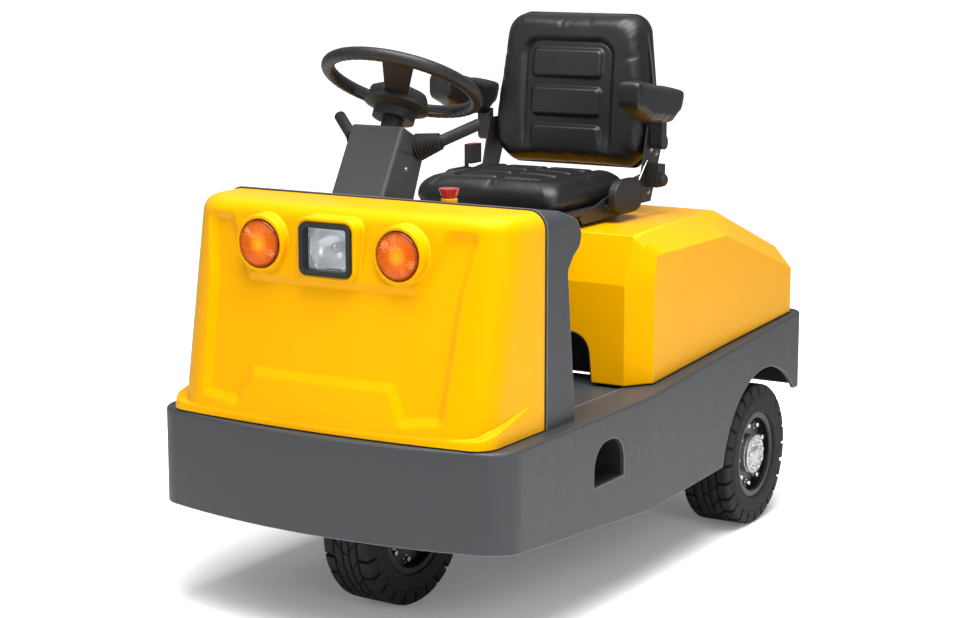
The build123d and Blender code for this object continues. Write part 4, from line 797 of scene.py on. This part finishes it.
# a panel: middle across and up or along, half of each size, corner
# a pad: half of each size, corner, width of its soft edge
BACK_LEAN = radians(4.7)
BACK_PANEL = (0.0, 0.165, 0.140, 0.190, 0.045)
BACK_PADS = [(0.0, 0.292), (0.0, 0.182), (0.0, 0.072)]
BACK_PAD = (0.118, 0.046, 0.022, 0.013)


def back_frame():
    """Matrix at the backrest pad's foot, leaning with it, the pad's depth and its size."""
    low, _, _, size = span("backrest_pad")
    foot = Vector((0, low.y, low.z))
    lean = Matrix.Translation(foot) @ Matrix.Rotation(-BACK_LEAN, 4, "X")
    return lean, size.y - size.z * sin(BACK_LEAN), size


def backrest():
    """Backrest cushion: rolled edges, a sunken panel and three sewn pads."""
    lean, depth, size = back_frame()
    level = lean.inverted()
    half = Vector((size.x / 2, 0, size.z / 2))

    def shape(co):
        p = level @ co
        front = min(max(1 - p.y / depth, 0), 1)
        share = max(0.0, (front - 0.15) / 0.85)
        inset = rolled(share) - 0.010
        across, up = p.x / half.x, (p.z - half.z) / half.z
        crown = 0.016 * share * (1 - across**2) * (1 - up**2)
        p.x *= 1 - inset / half.x
        p.z = half.z + (p.z - half.z) * (1 - inset / half.z)
        p.y -= crown
        return lean @ p

    def detail(co, normal):
        p = level @ co
        facing = smooth_step(-(level.to_3x3() @ normal).y, 0.45, 0.9)
        away = panel_away(p.x, p.z, BACK_PANEL)
        sunk = 0.013 * (1 - smooth_step(away, -0.004, 0.018))
        crease = 0.0035 * max(0.0, 1 - abs(away + 0.001) / 0.005)
        fade = smooth_step(p.z, 0.03, 0.10)
        lift = 0.014 * pad_lift(p.x, p.z, BACK_PADS, *BACK_PAD)
        p.y += facing * (sunk + crease - lift) * fade
        return lean @ p

    name = "backrest_cushion"
    soft_piece(name, "backrest_pad", "battery_hood", 0.006, 14, shape, 0.010, detail)


SEAT_PANEL = (0.0, 0.29, 0.142, 0.215, 0.05)
SEAT_PAD = (0.065, 0.039, 0.014, 0.012)
SEAT_PADS = [(side * 0.070, 0.130 + 0.085 * row) for side in (-1, 1) for row in range(4)]


def cushion():
    """Seat cushion: crowned, with rolled edges, a sewn panel of small pads and channels."""
    low, _, middle, size = span("seat_cushion")
    half = size / 2

    def shape(co):
        up = min(max((co.z - low.z) / size.z, 0), 1)
        across, along = (co.x - middle.x) / half.x, (co.y - middle.y) / half.y
        share = max(0.0, (up - 0.35) / 0.65)
        inset = rolled(share) + 0.010 * max(0.0, 1 - up / 0.3) + 0.003
        crown = 0.008 * up * (1 - across**2) * (1 - along**2)
        x = middle.x + (co.x - middle.x) * (1 - inset / half.x)
        y = middle.y + (co.y - middle.y) * (1 - inset / half.y)
        return Vector((x, y, co.z + crown))

    def detail(co, normal):
        x, y = co.x, co.y - low.y
        facing = smooth_step(normal.z, 0.4, 0.9)
        away = panel_away(x, y, SEAT_PANEL)
        sunk = 0.008 * (1 - smooth_step(away, -0.003, 0.014))
        crease = 0.003 * max(0.0, 1 - abs(away) / 0.005)
        lift = 0.007 * pad_lift(x, y, SEAT_PADS, *SEAT_PAD)
        co.z += facing * (lift - sunk - crease)
        return co

    soft_piece("seat_pad", "seat_cushion", "battery_hood", 0.006, 6, shape, 0.010, detail)


def armrests():
    """Padded armrests with softly rounded edges and a seam along the underside."""
    for side in ("left", "right"):
        _, _, middle, size = span("arm_pad_" + side)

        def shape(co):
            across = (co.x - middle.x) / (size.x / 2)
            inset = 0.006 * abs(across) ** 4
            squeeze = 1 - inset / (size.z / 2)
            x, z = middle.x + (co.x - middle.x) * 0.96, middle.z + (co.z - middle.z) * squeeze
            return Vector((x, co.y, z))

        def detail(co, normal):
            across = abs(co.x - middle.x) / (size.x / 2)
            under = smooth_step(-normal.z, -0.2, 0.2)
            co -= normal * 0.0015 * under * max(0.0, 1 - abs(across - 0.9) / 0.05)
            return co

        name = "armrest_pad_" + side
        soft_piece(name, "arm_pad_" + side, "armrest_" + side, 0.005, 7, shape, 0.004, detail)


# ---------------- wheels
LUGS = 24
# half of the tyre's section in metres, out from the rim and in over the tread.
# columns: across and radius on a lug, across and radius in the groove between lugs
SECTION = [
    (0.0695, 0.1256, 0.0695, 0.1256),
    (0.0740, 0.1280, 0.0740, 0.1280),
    (0.0762, 0.1340, 0.0762, 0.1340),
    (0.0750, 0.1375, 0.0750, 0.1375),
    (0.0770, 0.1500, 0.0770, 0.1500),
    (0.0773, 0.1650, 0.0773, 0.1650),
    (0.0758, 0.1695, 0.0758, 0.1695),
    (0.0775, 0.1710, 0.0775, 0.1710),
    (0.0770, 0.1735, 0.0765, 0.1735),
    (0.0752, 0.1755, 0.0700, 0.1760),
    (0.0745, 0.1790, 0.0672, 0.1800),
    (0.0735, 0.1950, 0.0655, 0.1900),
    (0.0715, 0.2025, 0.0630, 0.1950),
    (0.0655, 0.2070, 0.0590, 0.1975),
    (0.0520, 0.2075, 0.0520, 0.1985),
    (0.0420, 0.2075, 0.0420, 0.1985),
    (0.0400, 0.2065, 0.0400, 0.1985),
    (0.0392, 0.1985, 0.0392, 0.1985),
    (0.0352, 0.1985, 0.0352, 0.1985),
    (0.0344, 0.2068, 0.0344, 0.2025),
    (0.0330, 0.2075, 0.0330, 0.2025),
    (0.0150, 0.2075, 0.0150, 0.2025),
    (0.0136, 0.2068, 0.0136, 0.2025),
    (0.0128, 0.1995, 0.0128, 0.1995),
    (0.0092, 0.1995, 0.0092, 0.1995),
    (0.0084, 0.2068, 0.0084, 0.2025),
    (0.0070, 0.2075, 0.0070, 0.2025),
]
# angular columns of one lug pitch: share of the pitch, and 1 where it is cut down
COLUMNS = [(0.0, 0), (0.2, 0), (0.4, 0), (0.6, 0), (0.79, 0), (0.81, 1), (0.98, 1)]


def tread_surface():
    """Tyre with block shoulders, ribs and slanting grooves, turned about the X axis."""
    half = [(1, *row) for row in SECTION] + [(-1, *row) for row in reversed(SECTION)]
    points = []
    for lug in range(LUGS):
        for share, cut in COLUMNS:
            for side, x, r, low_x, low_r in half:
                across, radius = (low_x, low_r) if cut else (x, r)
                inner = max(0.0, 0.040 - across) / 0.040
                narrow = (share - 0.9) * 0.5 * (1 if inner > 0 and share > 0.75 else 0)
                turn = (lug + share - narrow + 0.9 * inner) * 2 * pi / LUGS
                points.append((side * across, -radius * sin(turn), radius * cos(turn)))
    return points, row_faces(LUGS * len(COLUMNS), len(half))


def wheel_place(joint_name, outward):
    """Matrix at a wheel's centre: X along its axle away from the tractor, Z up."""
    at, axis = joint(joint_name)
    out = axis * outward
    up = Vector((0, 0, 1))
    side = up.cross(out)
    turn = Matrix((out, side, up)).transposed().to_4x4()
    return Matrix.Translation(at) @ turn


# columns: wheel, its joint, the side its face looks to, its tyre, its body
WHEELS = [
    ("front", "front_wheel_spin", 1, "front_tyre", "front_wheel"),
    ("rear_left", "rear_wheel_left_spin", 1, "rear_tyre_left", "rear_wheel_left"),
    ("rear_right", "rear_wheel_right_spin", -1, "rear_tyre_right", "rear_wheel_right"),
]
DISC_X = 0.0455  # the rim's disc, under the nuts
CAP_FACE_X = 0.0665  # the hub's face, under the cap
# hub cap: radius and height, from its foot in to the middle
HUB_CAP = [(0.0575, 0.0), (0.0575, 0.003), (0.0555, 0.0052), (0.0520, 0.0052), (0.0505, 0.0035)]
HUB_CAP += [(0.0330, 0.0035), (0.0315, 0.0050), (0.0250, 0.0050), (0.0235, 0.0072)]
HUB_CAP += [(0.0215, 0.0085), (0.010, 0.0092), (0, 0.0094)]


def bolt_circle(place, x, radius, first, count=9):
    """Places of bolts on a circle about a wheel's axle; first is a share of their pitch."""
    outward = place.to_3x3() @ Vector((1, 0, 0))
    spots = []
    for i in range(count):
        angle = 2 * pi * (i + first) / count
        spots.append((place @ Vector((x, -radius * sin(angle), radius * cos(angle))), outward))
    return spots


def wheels():
    """Treaded tyres, chrome wheel nuts and bolted hub caps."""
    chrome = MATERIALS["chrome"]
    for name, joint_name, side, node, body in WHEELS:
        place = wheel_place(joint_name, side)
        parts = [(Matrix(), tread_surface())]
        tread = mesh_piece(name + "_tread", parts, MATERIALS["tyre"], body, place, 30)
        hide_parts(node)
        nuts = bolt_circle(place, DISC_X, 0.088, 0.3)
        bolts(name + "_nuts", nuts, 0.0085, 0.013, chrome, body)
        if name == "front":
            continue
        face = Matrix.Translation((CAP_FACE_X - 0.001, 0, 0)) @ Matrix.Rotation(radians(90), 4, "Y")
        parts = [(face, lathe(HUB_CAP, 64))]
        mesh_piece(name + "_cap", parts, MATERIALS["hub_cast"], body, place, 30)
        studs = bolt_circle(place, CAP_FACE_X + 0.002, 0.0425, 0)
        bolts(name + "_cap_bolts", studs, 0.0062, 0.0075, chrome, body, 12)


# ---------------- lamps
# amber lens: radius as a share of its own, height over its foot
AMBER = [(1.0, -0.010), (0.985, 0.001), (0.94, 0.0045), (0.90, 0.0045), (0.88, 0.0028)]
AMBER += [(0.70, 0.0040), (0.52, 0.0050), (0.36, 0.0054), (0.33, 0.0072), (0.30, 0.0058)]
AMBER += [(0.18, 0.0064), (0.0, 0.0068)]
AMBER_RIBBED = range(4, 8)  # the points of AMBER that carry the radial ribs


def lamp_lenses():
    """Amber lenses: a dark rim, radial ribs, a ring and a plain centre that carries a painted
    highlight.
    """
    low, high, middle, size = span("amber_lenses")
    radius = size.z / 2 - 0.0003
    points, faces = lathe([(radius * r, z) for r, z in AMBER], 192)
    ribbed = []
    for i, (x, y, z) in enumerate(points):
        step, k = divmod(i, len(AMBER))
        rib = 0.0011 if step % 4 < 2 else -0.0004
        ribbed.append((x, y, z + (rib if k in AMBER_RIBBED else 0)))
    parts = [(Matrix(), (ribbed, faces))]
    for name, x in (("left", high.x - radius), ("right", low.x + radius)):
        piece = mesh_piece("amber_glass_" + name, parts, MATERIALS["amber_ribbed"], "chassis")
        place = Matrix.Translation((x, low.y, middle.z)) @ AHEAD
        piece.matrix_local = piece.matrix_local @ place


BOWL_REACH = 0.062
BOWL_DEPTH = 0.046


def headlamp():
    """Bright stepped reflector with a bulb shield, behind the headlamp glass."""
    _, high, middle, size = span("headlamp_lens")
    wide, tall = size.x / 2 - 0.0005, size.z / 2 - 0.0005
    last = 28
    points = []
    for i in range(last + 1):
        for k in range(last + 1):
            x = wide * (2 * i / last - 1)
            z = tall * (2 * k / last - 1)
            reach = (x * x + z * z) ** 0.5
            depth = BOWL_DEPTH * max(0.0, 1 - (reach / BOWL_REACH) ** 2) ** 0.6
            points.append((middle.x + x, high.y + 0.002 + depth, middle.z + z))
    parts = [(Matrix(), (points, row_faces(last + 1, last + 1, closed=False)))]
    mesh_piece("headlamp_reflector", parts, MATERIALS["mirror"], "chassis", crease=20)
    shield = lathe([(0, 0.016), (0.010, 0.014), (0.014, 0.008), (0.014, -0.02)], 32)
    at = aimed((middle.x, high.y + 0.030, middle.z), (0, -1, 0))
    mesh_piece("headlamp_bulb", [(at, shield)], MATERIALS["chrome"], "chassis")


# ---------------- controls
def wheel_matrix():
    """Place of the steering wheel's rim: Z along its shaft, X to the driver's left."""
    at, axis = joint("steering_wheel_turn")
    left = Vector((1, 0, 0))
    turn = Matrix((left, axis.cross(left), axis)).transposed().to_4x4()
    return Matrix.Translation(at) @ turn


def steering():
    """Grip of the steering wheel with finger notches below, and its lobed centre cover."""
    place = wheel_matrix()
    radius, grip, notches, lobes = 0.199, 0.0176, 54, 8
    turns, sides = 432, 18
    points, faces = [], []
    for i in range(turns):
        angle = 2 * pi * i / turns
        for k in range(sides):
            round_ = 2 * pi * k / sides
            under = max(0.0, -sin(round_) + 0.25)
            notch = 1 - 0.10 * under * (0.5 + 0.5 * cos(notches * angle)) ** 2
            r = radius + grip * notch * cos(round_)
            points.append((r * cos(angle), r * sin(angle), grip * notch * sin(round_)))
    for i in range(turns):
        for k in range(sides):
            a, b, j = i * sides, (i + 1) % turns * sides, (k + 1) % sides
            faces.append((a + k, b + k, b + j, a + j))
    parts = [(Matrix(), (points, faces))]
    mesh_piece("wheel_grip", parts, MATERIALS["grip_rubber"], "steering_wheel", place, 50)
    cover = [(0.0752, -0.0560), (0.0765, -0.0540), (0.0765, -0.0330), (0.0740, -0.0270)]
    cover += [(0.0660, -0.0225), (0.0400, -0.0200), (0, -0.0190)]
    lobed = lathe(cover, 144, lambda angle, k: 1 + (0.022 * cos(lobes * angle) if k < 5 else 0))
    parts = [(Matrix(), lobed)]
    mesh_piece("wheel_cover", parts, MATERIALS["black_plastic"], "steering_wheel", place)


# a lever: out from the column's side, behind the dash's front, height, in metres
LEVER_ROOT = (-0.004, 0.1811, 1.1786)
LEVER_ELBOW = (0.060, 0.192, 1.197)
BOOT_R = 0.036
BOOT_TIP_R = 0.021


def bellows():
    """Rubber bellows of the two levers, narrowing outwards."""
    _, _, column, column_size = span("column_box")
    dash_low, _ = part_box("dash_shell")
    folds = 8
    profile = []
    for k in range(folds):
        share = k / folds
        radius = BOOT_R + (BOOT_TIP_R - BOOT_R) * share
        profile += [(radius - 0.0055, share), (radius, share + 0.25 / folds)]
        profile += [(radius, share + 0.45 / folds), (radius - 0.0062, share + 0.75 / folds)]
    profile += [(0.0165, 1.0), (0.0160, 1.06), (0, 1.07)]
    parts = []
    for side in (-1, 1):
        ends = []
        for x, y, z in (LEVER_ROOT, LEVER_ELBOW):
            x = column.x + side * (column_size.x / 2 + x)
            ends.append(Vector((x, dash_low.y + y, z)))
        run = ends[1] - ends[0]
        scaled = [(r, z * run.length) for r, z in profile]
        parts.append((aimed(ends[0], run), lathe(scaled, 40)))
    boots = mesh_piece("lever_bellows", parts, MATERIALS["rubber"], "chassis", crease=60)
    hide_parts("lever_boots")


# on the column's sides: behind the dash's front and height, in metres
COLUMN_SCREW = (0.117, 1.128)
COLUMN_SEAM = [(0.078, 1.182), (0.196, 1.147)]


def column_trim():
    """A screw and the seam of the side cover on each side of the column housing."""
    low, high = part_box("column_box")
    dash_low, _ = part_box("dash_shell")
    places, seams = [], []
    for x, out in ((high.x, 1), (low.x, -1)):
        screw, *seam = (Vector((x, dash_low.y + y, z)) for y, z in [COLUMN_SCREW] + COLUMN_SEAM)
        places.append((screw, (out, 0, 0)))
        seams.append((Matrix(), tube(seam, 0.0011, 6)))
    bolts("column_screws", places, 0.0042, 0.0025, MATERIALS["chrome"], "chassis", 16)
    mesh_piece("column_seams", seams, MATERIALS["black_plastic"], "chassis")


# ---------------- seat fittings
# left half of the piping, across and up from the pad's foot
PIPING = [(0.196, 0.004), (0.232, 0.030), (0.247, 0.062), (0.2515, 0.112), (0.2505, 0.185)]
PIPING += [(0.234, 0.290), (0.217, 0.372), (0.207, 0.402), (0.188, 0.424), (0.160, 0.434)]


def piping():
    """Piped edge between the backrest's cushion and its shell."""
    lean, depth, _ = back_frame()
    loop = PIPING + [(-x, z) for x, z in reversed(PIPING)]
    curve = bpy.data.curves.new("back_piping", "CURVE")
    curve.dimensions = "3D"
    curve.bevel_depth = 0.0042
    curve.bevel_resolution = 3
    spline = curve.splines.new("NURBS")
    spline.points.add(len(loop) - 1)
    for point, (x, z) in zip(spline.points, loop):
        point.co = (*(lean @ Vector((x, depth - 0.001, z))), 1)
    spline.use_cyclic_u = True
    spline.order_u = 3
    spline.resolution_u = 8
    curve.materials.append(MATERIALS["piping"])
    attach(linked("back_piping", curve), "battery_hood")


# behind the left armrest's pivot, height above it
BRACKET_BOLTS = [(-0.006, -0.022), (0.026, -0.034), (0.012, -0.120), (-0.020, -0.140)]


def bracket_bolts():
    """Bolts in the side plates of the seat."""
    pivot, _ = joint("armrest_left_fold")
    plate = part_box("hip_covers")[1].x - 0.024
    places = []
    for out in (-1, 1):
        for y, z in BRACKET_BOLTS:
            places.append((Vector((out * plate, pivot.y + y, pivot.z + z)), (out, 0, 0)))
    bolts("bracket_bolts", places, 0.006, 0.005, MATERIALS["chrome"], "battery_hood")


def belt_trim():
    """The buckle's red button, and the retractor's knob and chrome rod."""
    low, high, middle, _ = span("belt_buckle")
    corner = Vector((middle.x - 0.008, low.y + 0.012, high.z - 0.003))
    points = []
    for z, grow in ((0, 0.001), (0.0045, 0)):
        left, right = -0.001 - grow, 0.017 + grow
        for x, y in ((left, 0), (right, 0), (right, 0.034), (left, 0.034)):
            points.append((corner.x + x, corner.y + y, corner.z + z))
    faces = [(0, 1, 2, 3), (4, 5, 6, 7), (0, 1, 5, 4), (1, 2, 6, 5), (2, 3, 7, 6), (3, 0, 4, 7)]
    parts = [(Matrix(), (points, faces))]
    mesh_piece("buckle_button", parts, MATERIALS["red_plastic"], "battery_hood")
    low, high, middle, _ = span("belt_retractor")
    knob = lathe([(0, 0.016), (0.012, 0.015), (0.017, 0.010), (0.018, 0.004), (0.018, -0.002)], 28)
    at = aimed((high.x, middle.y, middle.z - 0.012), (1, 0, 0))
    mesh_piece("retractor_knob", [(at, knob)], MATERIALS["black_plastic"], "battery_hood")
    start = Vector((low.x + 0.004, low.y + 0.004, high.z + 0.012))
    rod = tube([start, start + Vector((-0.002, -0.062, -0.068))], 0.0028, 12)
    mesh_piece("chrome_rod", [(Matrix(), rod)], MATERIALS["chrome"], "battery_hood")


# ---------------- tail
HITCH_PLATE = 0.014  # thickness


def tail_fittings():
    """Ribbed tail lamps and the bolts of the hitch plate."""
    low, high, middle, size = span("tail_lamps")
    radius = size.z / 2
    depth = size.y
    lip = depth - 0.0015
    rim = [(radius, 0), (radius, depth - 0.004), (radius - 0.002, lip), (radius - 0.005, lip)]
    rings = [(radius - 0.006 - 0.0035 * k, depth - (0.003 if k % 2 else 0.0018)) for k in range(8)]
    lamp = lathe(rim + rings + [(0, depth - 0.002)], 72)
    sides = (low.x + radius, high.x - radius)
    parts = [(aimed((x, low.y, middle.z), (0, 1, 0)), lamp) for x in sides]
    lamps = mesh_piece("tail_lenses", parts, MATERIALS["red_plastic"], "chassis")
    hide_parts("tail_lamps")
    low, high, _, size = span("tow_hitch")
    aside = size.x / 2 - 0.022
    places = []
    for x in (-aside, aside):
        for z in (low.z + 0.024, high.z - 0.024):
            places.append((Vector((x, low.y + HITCH_PLATE, z)), (0, 1, 0)))
    bolts("hitch_bolts", places, 0.011, 0.009, MATERIALS["chrome"], "chassis")


# ---------------- stage, light and camera
def make_floor():
    """Plain pale floor that glows evenly away from the tractor."""
    bpy.ops.mesh.primitive_plane_add(size=60)
    floor = bpy.context.object
    floor.name = "floor"
    m = Nodes("floor_white")
    m.colour(m.mix(m.noise(3, 2), (0.90, 0.90, 0.90), (0.92, 0.92, 0.92)))
    far = m.add("ShaderNodeVectorMath", operation="LENGTH")
    m.link(m.place, far.inputs[0])
    glow = m.add("ShaderNodeMapRange", From_Min=0.75, From_Max=1.45, To_Min=0.12, To_Max=0.9)
    glow.interpolation_type = "SMOOTHSTEP"
    m.link(far.outputs["Value"], glow.inputs["Value"])
    shown = m.add("ShaderNodeLightPath").outputs["Is Camera Ray"]
    seen = m.add("ShaderNodeMath", operation="MULTIPLY")
    m.link(glow.outputs["Result"], seen.inputs[0])
    m.link(shown, seen.inputs[1])
    m.link(seen.outputs["Value"], m.shader.inputs["Emission Strength"])
    m.set(Roughness=0.9, Specular_IOR_Level=0.1, Emission_Color=(1, 1, 1, 1))
    floor.data.materials.append(m.material)


def area_light(name, position, target, width, height, power):
    """Soft rectangular lamp aimed at a point."""
    data = bpy.data.lights.new(name, "AREA")
    data.shape = "RECTANGLE"
    data.size = width
    data.size_y = height
    data.energy = power
    lamp = linked(name, data)
    lamp.location = position
    lamp.rotation_euler = (Vector(target) - Vector(position)).to_track_quat("-Z", "Y").to_euler()


def make_light():
    """White surroundings with large soft lamps above and in front."""
    world = bpy.data.worlds.new("studio")
    bpy.context.scene.world = world
    world.use_nodes = True
    tree = world.node_tree
    back = tree.nodes["Background"]
    shown = tree.nodes.new("ShaderNodeLightPath").outputs["Is Camera Ray"]
    strength = tree.nodes.new("ShaderNodeMapRange")
    strength.inputs["To Min"].default_value = 0.30
    strength.inputs["To Max"].default_value = 1.05
    tree.links.new(shown, strength.inputs["Value"])
    tree.links.new(strength.outputs["Result"], back.inputs["Strength"])
    back.inputs["Color"].default_value = (1, 1, 1, 1)
    middle = (CAD_BOX[0] + CAD_BOX[1]) / 2
    area_light("top", (0.7, -0.9, 4.6), middle, 3.4, 3.4, 400)
    area_light("front_left", (4.2, -2.6, 2.4), middle, 2.0, 3.0, 78)
    area_light("front_right", (-2.2, -4.8, 2.2), middle, 1.6, 3.0, 34)
    scene = bpy.context.scene
    scene.view_settings.view_transform = "Standard"
    scene.view_settings.look = "None"


def make_camera():
    """Camera at the left front corner, a little above the cowl."""
    azimuth = radians(31.0)
    elevation = radians(10.2)
    back = Vector((sin(azimuth) * cos(elevation), -cos(azimuth) * cos(elevation), sin(elevation)))
    front_axle, _ = joint("fork_steer")
    data = bpy.data.cameras.new("camera")
    data.sensor_width = 36.0
    data.lens = 81.4
    camera = linked("camera", data)
    camera.location = Vector((3.047, front_axle.y - 4.616, 1.768))
    camera.rotation_euler = (-back).to_track_quat("-Z", "Y").to_euler()
    bpy.context.scene.camera = camera


make_camera()
make_floor()
make_light()
dress_nodes()
front_cowl()
hood()
backrest()
cushion()
armrests()
wheels()
lamp_lenses()
headlamp()
steering()
bellows()
column_trim()
piping()
bracket_bolts()
belt_trim()
tail_fittings()
